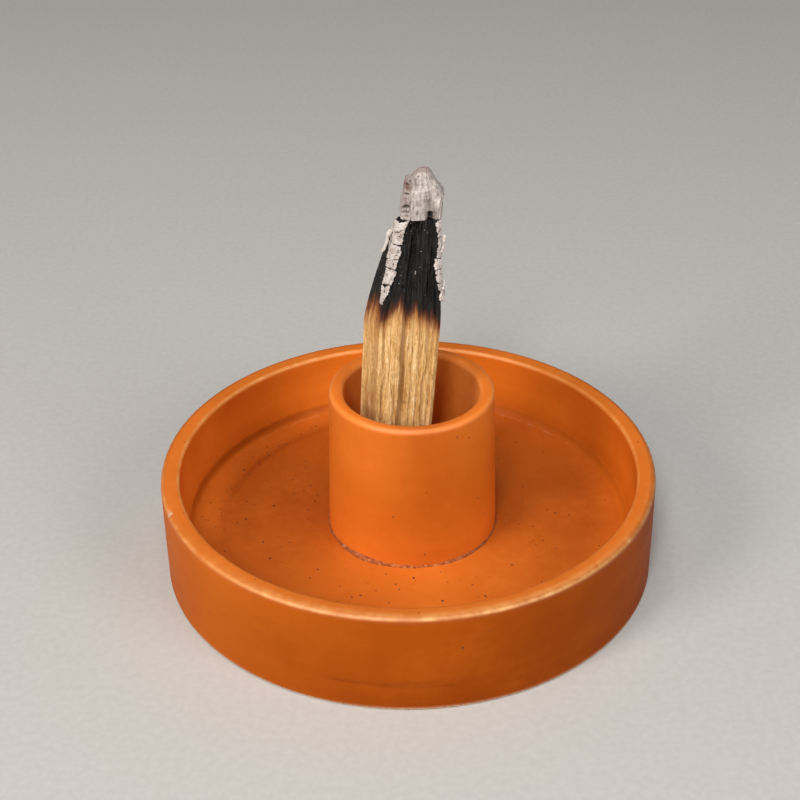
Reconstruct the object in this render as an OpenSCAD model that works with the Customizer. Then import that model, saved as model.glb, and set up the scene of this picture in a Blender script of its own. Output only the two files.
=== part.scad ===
// Palo santo holder: a round ceramic tray with an upright cup, and the half-burnt stick that stands in it.
// Millimetres, +Z up, origin at the centre of the foot. The front of the tray is towards -Y.

/* [Tray] */
// Outer radius of the tray
tray_r = 50; // [42:0.5:70]
// Height of the tray from the table to the rim
tray_h = 21.6; // [16:0.2:32]
// Thickness of the upright wall
wall_t = 3.8; // [2.8:0.1:6]
// Rounding of the two edges of the rim
rim_round = 0.9; // [0.4:0.1:1.3]
// Thickness of the clay slab that makes the floor
floor_t = 4.9; // [3:0.1:7]
// Height of the turned foot ring under the slab
foot_h = 3; // [1.6:0.1:5]
// Width of the foot ring
foot_w = 5; // [3:0.1:8]
// Rounding of the lower outside edge
foot_round = 0.7; // [0.3:0.1:1.2]
// Leg of the slip fillet where the wall meets the floor
wall_seam_leg = 2; // [1:0.1:3]

/* [Cup] */
// Radius of the cup's bore
cup_bore_r = 13.6; // [11.5:0.1:18]
// Wall of the cup at its rim
cup_wall = 2.8; // [2:0.1:4]
// How much wider the cup's foot is than its rim, on the radius
cup_flare = 0.8; // [0.2:0.1:2]
// Height of the cup above the floor
cup_h = 31.6; // [22:0.1:45]
// Rounding of the cup's rim
cup_rim_round = 1.2; // [0.5:0.1:1.4]
// Radius of the bead of slip at the cup's foot
cup_seam_r = 1.1; // [0.5:0.1:2]
// How far the cup was set off the tray's centre, to the right
cup_x = 0.8; // [-3:0.1:3]
// How far the cup was set off the tray's centre, to the back
cup_y = 0.1; // [-3:0.1:3]

/* [Stick] */
// Width of the stick at its foot
stick_w = 13.7; // [9:0.1:15]
// Depth of the stick, front to back
stick_d = 9.4; // [7:0.1:11]
// Width that the stick gains on its way up to the char line
stick_taper = 1; // [0:0.1:1.5]
// Lean of the stick to the right, in degrees
stick_lean = 3.2; // [0:0.1:5]
// Gap between the stick's foot and the bore, on its left
stick_gap = 1; // [0.6:0.1:2]
// Length of unburnt wood
wood_len = 50.5; // [30:0.5:80]
// Width of the narrow split facet on the left of the front face
facet_w = 3.1; // [1.5:0.1:4.5]
// Depth of that facet
facet_d = 2.6; // [1:0.1:3.5]
// How much narrower the back is than the front, on each side
back_narrow = 0.7; // [0:0.1:1.5]
// Cut of the other three corners
corner_cut = 0.6; // [0.3:0.1:1.2]
// Depth of the split grain
flute_depth = 0.42; // [0.1:0.02:0.6]
// Depth of the long groove in the front face
groove_depth = 0.75; // [0.2:0.05:1.2]
// Width of that groove
groove_w = 1.5; // [0.8:0.1:2.5]

/* [Burnt end] */
// Length of the charcoal
char_len = 18.9; // [10:0.1:25]
// How deep the fire has eaten the left side at the top of the charcoal
burn_left = 5.3; // [2:0.1:6]
// How deep it has eaten the right side there
burn_right = 1.2; // [0.2:0.1:2]
// How deep it has eaten the front there
burn_front = 1; // [0.2:0.1:2]
// How deep it has eaten the back there
burn_back = 2.1; // [0.2:0.1:3]
// How far the ridge beside the left facet has drifted to the right there
burn_ridge = 2.7; // [1:0.1:4]
// Length of the standing ash
ash_len = 9; // [5:0.1:14]
// Width of the standing ash at its base
ash_w = 7.8; // [4:0.1:8]
// Depth of the standing ash at its base
ash_d = 6.4; // [3:0.1:6.6]
// Width of the tip of the ash
ash_tip_w = 1.4; // [0.8:0.1:2.5]
// How far the tip of the ash is bent to the right
ash_bend = 0.6; // [0:0.1:1.5]
// Thickness of the ash crust on the ridges of the charcoal
crust_t = 0.65; // [0.3:0.05:1]
// Gap between a crust and the charcoal under it
crust_gap = 0.1; // [0.05:0.01:0.3]
// Width of the left crust at its top
crust_left_w = 2.5; // [1.2:0.1:4]
// Width of the right crust
crust_right_w = 1.4; // [0.6:0.1:2]
// Width of the cracks across the crusts
crack_w = 0.3; // [0.1:0.05:0.6]
// Drop of the flake that peels off the left crust
flake_drop = 4; // [2:0.1:5]
// How far the low end of that flake stands out to the left
flake_out = 1.8; // [0.8:0.1:2.5]
// Drop of the curl that hangs off the right crust
hang_drop = 3.2; // [1.5:0.1:4]
// Rise of the curl that stands up off the right crust
stand_rise = 3.4; // [1.5:0.1:4.5]
// Radius of a curl where it leaves its crust
curl_r = 0.25; // [0.15:0.01:0.35]
// Radius of a curl at its rolled-up end
curl_end_r = 0.42; // [0.2:0.02:0.55]

/* [Hidden] */
$fn = 128;

// Heights of the holder
floor_z = foot_h + floor_t;
// Radii of the holder
wall_in_r = tray_r - wall_t;
cup_rim_r = cup_bore_r + cup_wall;
cup_foot_r = cup_rim_r + cup_flare;
// Least thickness left at the feathered ends of the wall's fillet
seam_lip = 0.2;
// The rim's rounding never takes more than the cup's wall has
cup_round = min(cup_rim_round, cup_wall / 2 - 0.1);

// Heights of the stick's parts
char_z = floor_z + wood_len;
ash_z = char_z + char_len;
// The fire starts to eat the sides a little below the char line, and the crusts start a little above it
char_blur = 2.4;
burn_z = char_z - char_blur;
crust_foot_z = char_z + char_blur;
// The left side burns faster and faster with height, the other sides evenly
burn_left_power = 1.3;
// The stick's left edge at the foot, where its corner stands stick_gap from the bore
foot_left_x = cup_x - sqrt(pow(cup_bore_r - stick_gap, 2) - pow(stick_d / 2, 2));
// The standing ash is right of the stick's own axis, because the left side burnt first
ash_shift = 3;

// Columns of points on each side of the split section, in turn: front, corner, right, corner, back, corner,
// left, facet
side_cols = [18, 1, 8, 1, 14, 1, 5, 5];
col_count = sum_to(side_cols, len(side_cols));
// Each column of the split wood has its own depth, so that the grain runs the length of the stick
grain = rands(0, 1, col_count, 41);
// Place of the long groove, as a share of the front face from the ridge
groove_at = 0.42;
// Rings of points along each part of the stick
wood_rings = 15;
char_rings = 12;
ash_rings = 10;
crust_rings = 4;
curl_rings = 7;
curl_sides = 6;
// Shares of the charred length at which the crusts are cracked
left_cracks = [0, 0.2, 0.42, 0.54, 0.72, 1];
right_cracks = [0.02, 0.24, 0.44, 0.62, 1];
// Shares of a crust's width on each side of its ridge
left_on_facet = 0.45;
left_on_front = 0.6;
right_on_front = 0.6;
right_on_side = 0.4;

function sum_to(list, n) = n == 0 ? 0 : list[n - 1] + sum_to(list, n - 1);
function mix(a, b, k) = a + (b - a) * k;
function unit(v) = v / norm(v);
function mean(points) = [for (p = points) 1] * points / len(points);

// Share of the burn reached at height z, 0 where the fire has not been and 1 at the top of the charcoal
function burnt(z) = max(0, z - burn_z) / (ash_z - burn_z);
function left_burn(z) = burn_left * pow(burnt(z), burn_left_power);
// Outline of the stick, seen from the front
function axis_shift(z) = (z - floor_z) * tan(stick_lean);
function grown(z) = stick_taper * min(1, (z - floor_z) / wood_len);
function left_x(z) = foot_left_x + axis_shift(z) + left_burn(z);
function right_x(z) = foot_left_x + stick_w + grown(z) + axis_shift(z) - burn_right * burnt(z);
// Outline of the stick, seen from the side
function front_y(z) = cup_y - stick_d / 2 + burn_front * burnt(z);
function back_y(z) = cup_y + stick_d / 2 - burn_back * burnt(z);
// Width left of the facet as the fire eats it
function facet_left(z) = max(facet_w / 4, facet_w + burn_ridge * burnt(z) - left_burn(z));

// Corners of a split section, anticlockwise from the ridge at the front left
function corners(l, r, f, b, run, rise, cut, narrow) = [
    [l + run, f], [r - cut, f], [r, f + cut], [r - narrow, b - cut], [r - narrow - cut, b],
    [l + narrow + cut, b], [l + narrow, b - cut], [l, f + rise]
];
function stick_corners(z) =
    corners(left_x(z), right_x(z), front_y(z), back_y(z), facet_left(z), facet_d, corner_cut, back_narrow);

// The standing ash closes in to its tip: early on its right and in its depth, late on its left
ash_left_power = 6;
ash_right_power = 3;
ash_depth_power = 2;
function ash_k(z) = (z - ash_z) / ash_len;
function ash_half(z, full, power) = mix(full, ash_tip_w, pow(ash_k(z), power)) / 2;
function ash_x(z) = foot_left_x + stick_w / 2 + axis_shift(z) + ash_shift + ash_bend * pow(ash_k(z), 2);
function ash_corners(z) =
    let (
        l = ash_half(z, ash_w, ash_left_power),
        r = ash_half(z, ash_w, ash_right_power),
        d = ash_half(z, ash_d, ash_depth_power),
        x = ash_x(z)
    )
        corners(x - l, x + r, cup_y - d, cup_y + d, l / 2, d / 2, min(corner_cut, d / 3), 0);

// Inset of one column of the split section at height z
function grain_in(col, z) = flute_depth * grain[col] * (0.75 + 0.25 * sin(z * 9 + 360 * grain[col]));
function groove_in(share, face_w) = let (off = (share - groove_at) * face_w / (groove_w / 2))
    groove_depth * exp(-off * off);

// One ring of the split section: corners stay crisp, and the sides between them follow the grain
function split_ring(c, z, depth) = [
    for (side = [0 : len(c) - 1])
        let (a = c[side], b = c[(side + 1) % len(c)], run = b - a, inward = unit([-run.y, run.x]))
            for (step = [0 : side_cols[side] - 1])
                let (
                    share = step / side_cols[side],
                    col = sum_to(side_cols, side) + step,
                    groove = side == 0 ? groove_in(share, norm(run)) : 0,
                    dent = step == 0 ? 0 : depth * (grain_in(col, z) + groove),
                    p = a + run * share + inward * dent
                )
                    [p.x, p.y, z]
];

// A skin laid along an outline: back along its inside, forth along its outside
function skin_ring(path, z, gap, thick) =
    let (
        last = len(path) - 1,
        normals = [for (i = [0 : last])
            let (run = unit(path[min(i + 1, last)] - path[max(i - 1, 0)])) [run.y, -run.x]],
        inside = [for (i = [0 : last]) path[i] + normals[i] * gap],
        outside = [for (i = [0 : last])
            path[i] + normals[i] * (gap + thick * (i == 0 || i == last ? 0.5 : 1))]
    )
        [for (p = concat(outside, [for (i = [last : -1 : 0]) inside[i]])) [p.x, p.y, z]];

// Solid through a list of rings, each an anticlockwise list of points at its own height. The end of a bar is
// a fan round its middle, and the end of a skin is a strip between its outside and its inside.
module loft(rings, skin = false) {
    n = len(rings[0]);
    last = len(rings) - 1;
    top = last * n;
    hub = top + n;
    sides = [
        for (k = [0 : last - 1], i = [0 : n - 1])
            let (a = k * n + i, b = k * n + (i + 1) % n)
                each [[a, a + n, b], [b, a + n, b + n]]
    ];
    ends = skin
        ? [for (i = [0 : n / 2 - 2])
            let (j = n - 1 - i)
                each [[i, i + 1, j - 1, j], [top + j, top + j - 1, top + i + 1, top + i]]]
        : [for (i = [0 : n - 1])
            let (j = (i + 1) % n)
                each [[i, j, hub], [top + j, top + i, hub + 1]]];
    middles = skin ? [] : [mean(rings[0]), mean(rings[last])];
    polyhedron(concat([for (ring = rings) each ring], middles), concat(sides, ends));
}

// Clay disc with a turned foot ring, softened at its lower outside edge
module floor_slab() {
    color("#c8621f")
        rotate_extrude()
            difference() {
                union() {
                    translate([0, foot_round])
                        square([tray_r, floor_z - foot_round]);
                    square([tray_r - foot_round, floor_z]);
                    translate([tray_r - foot_round, foot_round])
                        circle(foot_round);
                }
                translate([0, -1])
                    square([tray_r - foot_w, foot_h + 1]);
            }
}

// Upright ring on the slab's edge, rounded at both edges of its rim
module wall_ring() {
    color("#dc7128")
        translate([0, 0, floor_z])
            rotate_extrude()
                translate([wall_in_r, 0])
                    round_topped(wall_t, tray_h - floor_z, rim_round);
}

// Bar standing on the X axis with its two top corners rounded
module round_topped(w, h, r) {
    square([w, h - r]);
    translate([r, 0])
        square([w - 2 * r, h]);
    for (x = [r, w - r])
        translate([x, h - r])
            circle(r);
}

// Hollow fillet of slip in the corner of floor and wall
module wall_seam() {
    color("#e2a27a")
        translate([0, 0, floor_z])
            rotate_extrude()
                translate([wall_in_r - wall_seam_leg, 0])
                    difference() {
                        square(wall_seam_leg);
                        translate([0, wall_seam_leg])
                            circle(wall_seam_leg - seam_lip);
                    }
}

// Open tube with a true bore, a little wider at its foot and rounded at its rim
module cup_tube() {
    color("#dc7128")
        translate([cup_x, cup_y, floor_z])
            rotate_extrude()
                union() {
                    polygon([
                        [cup_bore_r, 0], [cup_foot_r, 0],
                        [cup_rim_r, cup_h - cup_round], [cup_bore_r, cup_h - cup_round]
                    ]);
                    translate([cup_bore_r, cup_h - 2 * cup_round])
                        round_topped(cup_wall, 2 * cup_round, cup_round);
                }
}

// Quarter-round bead of slip at the foot of the cup
module cup_seam() {
    color("#e9c4b0")
        translate([cup_x, cup_y, floor_z])
            rotate_extrude()
                translate([cup_foot_r, 0])
                    intersection() {
                        circle(cup_seam_r);
                        square(cup_seam_r);
                    }
}

// Split wood that the fire has not reached
module palo_santo_stick() {
    color("#c99d5c")
        loft([for (k = [0 : wood_rings])
            let (z = mix(floor_z, char_z, k / wood_rings))
                split_ring(stick_corners(z), z, 1)]);
}

// Charcoal, thinner as it rises
module char_zone() {
    color("#1d1a18")
        loft([for (k = [0 : char_rings])
            let (z = mix(char_z, ash_z, k / char_rings))
                split_ring(stick_corners(z), z, 1)]);
}

// Ash that still stands on top of the charcoal
module ash_tip() {
    color("#d8d0c8")
        loft([for (k = [0 : ash_rings])
            let (z = mix(ash_z, ash_z + ash_len, k / ash_rings))
                split_ring(ash_corners(z), z, mix(0.6, 0.2, ash_k(z)))]);
}

// Height at a share t of the charcoal that carries crust, from where the crusts start
function crust_z(t) = mix(crust_foot_z, ash_z - crack_w, t);

// Outline under the left crust: along the facet, over the ridge and on to the front face
function left_path(z, t) =
    let (c = stick_corners(z), ridge = c[0], w = mix(0.25, 1, t) * crust_left_w, reach = left_on_front * w)
        [ridge + unit(c[7] - ridge) * left_on_facet * w, ridge, ridge + [reach / 2, 0], ridge + [reach, 0]];

// Outline under the right crust: along the front face, over the cut corner and on to the right side
function right_path(z, t) =
    let (c = stick_corners(z), w = mix(1, 0.5, t) * crust_right_w)
        [c[1] - [right_on_front * w, 0], c[1], c[2], c[2] + [0, right_on_side * w]];

function crust_path(side, z, t) = side == "left" ? left_path(z, t) : right_path(z, t);

// Pieces of crust between cracks, given by shares of the charred length
module crust(cuts, side) {
    for (i = [0 : len(cuts) - 2])
        loft([for (k = [0 : crust_rings])
            let (
                low = crust_z(cuts[i]) + crack_w / 2,
                high = crust_z(cuts[i + 1]) - crack_w / 2,
                z = mix(low, high, k / crust_rings),
                t = (z - crust_foot_z) / (ash_z - crust_foot_z),
                swell = 0.7 + 0.3 * sin(180 * k / crust_rings)
            )
                skin_ring(crust_path(side, z, t), z, crust_gap, crust_t * swell)], skin = true);
}

// Cracked ash crust along the left ridge
module ash_strip_left() {
    color("#ddd6d0")
        crust(left_cracks, "left");
}

// Thinner crust along the right ridge
module ash_strip_right() {
    color("#d3ccc6")
        crust(right_cracks, "right");
}

// Flake on a bend of three points, from its low end to its high end
function bend(p, k) = mix(mix(p[0], p[1], k), mix(p[1], p[2], k), k);
module curl(p, low_r, high_r) {
    loft([for (k = [0 : curl_rings])
        let (at = bend(p, k / curl_rings), r = mix(low_r, high_r, k / curl_rings))
            [for (i = [0 : curl_sides - 1])
                at + r * [cos(360 * i / curl_sides), sin(360 * i / curl_sides), 0]]]);
}

// A place off the outside of a crust, a share t of the way up it, for a curl of radius r
function off_crust(r) = crust_gap * 2 + crust_t + r;
function off_left(t, r) =
    let (z = crust_z(t), end = left_path(z, t)[0])
        [end.x, end.y, z] + off_crust(r) * unit([-facet_d, -facet_w, 0]);
function off_right(t, r) =
    let (z = crust_z(t), c = stick_corners(z), corner = (c[1] + c[2]) / 2)
        [corner.x, corner.y, z] + off_crust(r) * unit([1, -1, 0]);

// Flakes that peel off the crusts: one down to the left, one hanging and one standing on the right
flake_at = 0.88;
hang_at = 0.25;
stand_at = 0.6;
module ash_curls() {
    flake = off_left(flake_at, curl_end_r);
    flake_low = flake - [flake_out, 0, flake_drop];
    hang = off_right(hang_at, curl_r);
    hang_low = hang + [curl_r, 0, -hang_drop];
    stand = off_right(stand_at, curl_r);
    stand_high = stand + [curl_r / 2, 0, stand_rise];
    color("#e3ddd8") {
        curl([flake_low, mix(flake, flake_low, 0.6) + [curl_r, 0, 0], flake], curl_r, curl_end_r);
        curl([hang_low, mix(hang, hang_low, 0.5) + [curl_r / 2, 0, 0], hang], curl_end_r, curl_r);
        curl([stand, mix(stand, stand_high, 0.5) - [curl_r / 4, 0, 0], stand_high], curl_r, curl_end_r);
    }
}

floor_slab();
wall_ring();
wall_seam();
cup_tube();
cup_seam();
palo_santo_stick();
char_zone();
ash_tip();
ash_strip_left();
ash_strip_right();
ash_curls();
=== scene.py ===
import math
import bmesh
import bpy
import numpy as np
from mathutils import Matrix, Vector


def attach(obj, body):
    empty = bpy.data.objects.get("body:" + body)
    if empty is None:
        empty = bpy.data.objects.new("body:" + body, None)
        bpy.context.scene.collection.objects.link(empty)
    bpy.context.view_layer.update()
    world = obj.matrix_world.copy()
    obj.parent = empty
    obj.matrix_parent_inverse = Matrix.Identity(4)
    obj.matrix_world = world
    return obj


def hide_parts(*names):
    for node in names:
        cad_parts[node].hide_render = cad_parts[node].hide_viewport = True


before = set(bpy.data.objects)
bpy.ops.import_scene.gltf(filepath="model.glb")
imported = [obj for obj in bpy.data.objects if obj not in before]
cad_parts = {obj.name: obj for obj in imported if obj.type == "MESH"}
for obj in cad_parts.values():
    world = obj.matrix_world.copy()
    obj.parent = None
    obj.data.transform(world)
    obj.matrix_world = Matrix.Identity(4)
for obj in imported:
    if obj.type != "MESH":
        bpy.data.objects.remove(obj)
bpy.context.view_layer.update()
scene = bpy.context.scene
mm = 0.001
print("frame loaded", len(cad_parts), "nodes")


# Small helpers

def hexColour(code):  # sRGB hex to linear, as the shader sockets want it
    parts = [int(code[i:i + 2], 16) / 255 for i in (1, 3, 5)]
    return [p / 12.92 if p <= 0.04045 else ((p + 0.055) / 1.055) ** 2.4 for p in parts] + [1.0]


def perMm(size):  # texture scale that gives features of this size in millimetres
    return 1 / (size * mm)


def addNode(tree, kind, sets=None, ins=None):  # one node with its settings, values and links
    made = tree.nodes.new(kind)
    for name, value in (sets or {}).items():
        if name == "stops":
            ramp = made.color_ramp
            while len(ramp.elements) < len(value):
                ramp.elements.new(0.5)
            for element, (position, code) in zip(ramp.elements, value):
                element.position = position
                element.color = hexColour(code)
        else:
            setattr(made, name, value)
    for key, value in (ins or {}).items():
        if isinstance(value, bpy.types.Node):  # a node given as a value stands for its first output in use
            value = next(socket for socket in value.outputs if socket.enabled)
        if isinstance(value, bpy.types.NodeSocket):
            tree.links.new(value, made.inputs[key])
        else:
            made.inputs[key].default_value = value
    return made


def newMaterial(name):  # material with an empty tree, and the point in the piece's own space
    material = bpy.data.materials.new(name)
    material.use_nodes = True
    tree = material.node_tree
    tree.nodes.clear()
    return material, tree, addNode(tree, "ShaderNodeTexCoord").outputs["Object"]


def endMaterial(tree, sockets):  # shader with these values and links, then the output
    shader = addNode(tree, "ShaderNodeBsdfPrincipled", ins=sockets)
    addNode(tree, "ShaderNodeOutputMaterial", ins={"Surface": shader})


def newTree(name, sockets):  # geometry tree with a geometry input and output and named inputs
    tree = bpy.data.node_groups.new(name, "GeometryNodeTree")
    tree.interface.new_socket("Geometry", in_out="INPUT", socket_type="NodeSocketGeometry")
    for label, kind in sockets:
        tree.interface.new_socket(label, in_out="INPUT", socket_type=kind)
    tree.interface.new_socket("Geometry", in_out="OUTPUT", socket_type="NodeSocketGeometry")
    return tree, addNode(tree, "NodeGroupInput").outputs


def bakeTree(name, mesh, tree, values):  # run a geometry tree on a mesh and keep the plain result
    source = bpy.data.objects.new(name + ".source", mesh)
    scene.collection.objects.link(source)
    modifier = source.modifiers.new("shape", "NODES")
    modifier.node_group = tree
    for item in tree.interface.items_tree:
        if item.item_type == "SOCKET" and item.in_out == "INPUT" and item.name in values:
            modifier[item.identifier] = values[item.name]
    graph = bpy.context.evaluated_depsgraph_get()
    baked = bpy.data.meshes.new_from_object(source.evaluated_get(graph), depsgraph=graph)
    source.modifiers.remove(modifier)
    bpy.data.objects.remove(source)
    baked.name = name
    baked.materials.clear()  # the tree leaves an empty slot before its own
    baked.materials.append(values["Material"])
    baked.polygons.foreach_set("material_index", np.zeros(len(baked.polygons), np.int32))
    return baked


def meshFrom(name, points, faces):  # mesh from points in millimetres
    mesh = bpy.data.meshes.new(name)
    mesh.from_pydata((np.asarray(points) * mm).tolist(), [], faces)
    return mesh


def setFloats(mesh, name, values):  # one float per point, for the materials
    layer = mesh.attributes.get(name) or mesh.attributes.new(name, "FLOAT", "POINT")
    layer.data.foreach_set("value", np.asarray(values, np.float32).ravel())


def floatsOf(mesh, name):
    values = np.zeros(len(mesh.vertices), np.float32)
    mesh.attributes[name].data.foreach_get("value", values)
    return values


def pointsOf(mesh):  # points in millimetres
    flat = np.zeros(len(mesh.vertices) * 3)
    mesh.vertices.foreach_get("co", flat)
    return flat.reshape(-1, 3) / mm


def setPoints(mesh, points):
    mesh.vertices.foreach_set("co", (np.asarray(points) * mm).ravel())
    mesh.update()


def turnOutwards(mesh):  # closed shells: every face points out
    shape = bmesh.new()
    shape.from_mesh(mesh)
    bmesh.ops.recalc_face_normals(shape, faces=shape.faces)
    shape.to_mesh(mesh)
    shape.free()


def tubeFaces(rows, cols, base=0):  # closed rings with a hub point at each end, the hubs after the rings
    i, j = np.meshgrid(np.arange(rows - 1), np.arange(cols), indexing="ij")
    low, high, nextJ = base + i * cols, base + (i + 1) * cols, (j + 1) % cols
    quads = np.stack([low + j, low + nextJ, high + nextJ, high + j], -1).reshape(-1, 4).tolist()
    hub, top = base + rows * cols, base + (rows - 1) * cols
    fans = [(hub, base + (n + 1) % cols, base + n) for n in range(cols)]
    return quads + fans + [(hub + 1, top + n, top + (n + 1) % cols) for n in range(cols)]


def place(name, mesh, body, material=None, nodes=(), smooth=True):  # finished piece in the scene
    piece = bpy.data.objects.new(name, mesh)
    scene.collection.objects.link(piece)
    if material is not None:
        mesh.materials.clear()
        mesh.materials.append(material)
    if smooth:
        mesh.shade_smooth()
    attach(piece, body)
    if nodes:
        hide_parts(*nodes)


def smoothNoise(rows, cols, alongCells, acrossCells, seed):  # random field, stretched along the rows
    field = np.fft.fft2(np.random.default_rng(seed).standard_normal((rows, cols)))
    rowWave = np.exp(-2 * (math.pi * alongCells * np.fft.fftfreq(rows)) ** 2)
    colWave = np.exp(-2 * (math.pi * acrossCells * np.fft.fftfreq(cols)) ** 2)
    field = np.fft.ifft2(field * rowWave[:, None] * colWave[None, :]).real
    return (field - field.mean()) / field.std()


def ramp01(value):  # cut off below 0 and above 1
    return np.clip(value, 0, 1)


def dip(value, centre, width):  # soft window, 1 at the centre
    return np.exp(-((value - centre) / width) ** 2)


def facingSide(bearing, towards, spread):  # 1 on the side at that bearing, 0 on the far side
    return dip((bearing - towards + 180) % 360 - 180, 0, spread)


def radiusAndBearing(points, centre=(0, 0)):  # millimetres and degrees round an upright axis
    x, y = points[:, 0] - centre[0], points[:, 1] - centre[1]
    return np.hypot(x, y), np.degrees(np.arctan2(y, x))


# Camera, light and floor

view = {
    "eye": (0, -279.53, 211.16), "right": (0.999942, -0.001353, -0.010687),
    "up": (0.009779, 0.530068, 0.847899), "ahead": (-0.004517, 0.847954, -0.530050), "fieldDeg": 27.09,
}
camera = bpy.data.objects.new("camera", bpy.data.cameras.new("camera"))
scene.collection.objects.link(camera)
back = [-v for v in view["ahead"]]
turn = Matrix((view["right"], view["up"], back)).transposed().to_4x4()
camera.matrix_world = Matrix.Translation(Vector(view["eye"]) * mm) @ turn
camera.data.sensor_width = 36
camera.data.lens = 18 / math.tan(math.radians(view["fieldDeg"] / 2))
camera.data.clip_start = 0.01
scene.camera = camera

lights = {
    "key": {"from": (-0.68, -0.58, 0.54), "size": 0.34, "watts": 5.7, "colour": "#fff4e8"},
    "top": {"from": (-0.10, -0.24, 1.03), "size": 0.50, "watts": 4.5, "colour": "#ffffff"},
    "front": {"from": (-0.16, -0.80, 0.74), "size": 0.20, "watts": 4.9, "colour": "#f8faff"},
    "fill": {"from": (0.66, -0.60, 0.55), "size": 0.50, "watts": 4.0, "colour": "#ffffff"},
}
aim = Vector((0, 0, 0.03))
for name, lamp in lights.items():
    data = bpy.data.lights.new(name, "AREA")
    data.size = lamp["size"]
    data.energy = lamp["watts"]
    data.color = hexColour(lamp["colour"])[:3]
    light = bpy.data.objects.new(name, data)
    scene.collection.objects.link(light)
    light.location = lamp["from"]
    light.rotation_euler = (aim - light.location).to_track_quat("-Z", "Y").to_euler()
world = bpy.data.worlds.new("studio")
scene.world = world
world.use_nodes = True
world.node_tree.nodes["Background"].inputs["Color"].default_value = hexColour("#cfd2d6")
world.node_tree.nodes["Background"].inputs["Strength"].default_value = 0.09
scene.view_settings.view_transform = "Standard"

# Matt painted board: even, with a faint roller texture
boardPaint, tree, spot = newMaterial("matt_painted_board")
roller = addNode(tree, "ShaderNodeTexNoise", ins={"Vector": spot, "Scale": perMm(1.5)})
tint = addNode(tree, "ShaderNodeValToRGB", {"stops": [(0.3, "#b9b6b1"), (0.7, "#bfbdb8")]}, {0: roller})
grit = addNode(tree, "ShaderNodeBump", ins={"Strength": 0.2, "Distance": 0.05 * mm, "Height": roller})
endMaterial(tree, {"Base Color": tint, "Normal": grit, "Roughness": 0.8})
half = 3000
boardMesh = meshFrom("board", [(-half, -half, 0), (half, -half, 0), (half, half, 0), (-half, half, 0)],
                     [(0, 1, 2, 3)])
board = bpy.data.objects.new("board", boardMesh)
boardMesh.materials.append(boardPaint)
scene.collection.objects.link(board)
print("camera, lights and floor made")


# Glazed ware: materials

orange = {"deep": "#d86f1c", "body": "#e17722", "light": "#e77f29"}
glaze = {
    # broken: the pale edge colour, for glaze thinning on edges and for painted highlights
    "floor": {**orange, "broken": "#f4ba7e", "ragged": 0.8, "shine": 0.36},
    "wall": {**orange, "broken": "#f3ba70", "ragged": 2.0},
    "cup": {"deep": "#d56c1b", "body": "#dd7320", "light": "#e37a26", "broken": "#ff9c48", "ragged": 0.8},
    "seam": {**orange, "broken": "#ecc4a8", "ragged": 8.0, "shine": 0.14},
    # a deeper orange, painted in as shade
    "pooled": {"deep": "#923c04", "body": "#9f4505", "light": "#ad4f0b"},
    "clay": [(0.35, "#b98766"), (0.6, "#d8b394")], "iron": "#4a1d0a",
    "cloudMm": 16, "mottleMm": 1.7, "grainMm": 0.45, "streakMm": 2.5, "speckMm": 3.4, "pinholeMm": 2.1,
}
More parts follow.
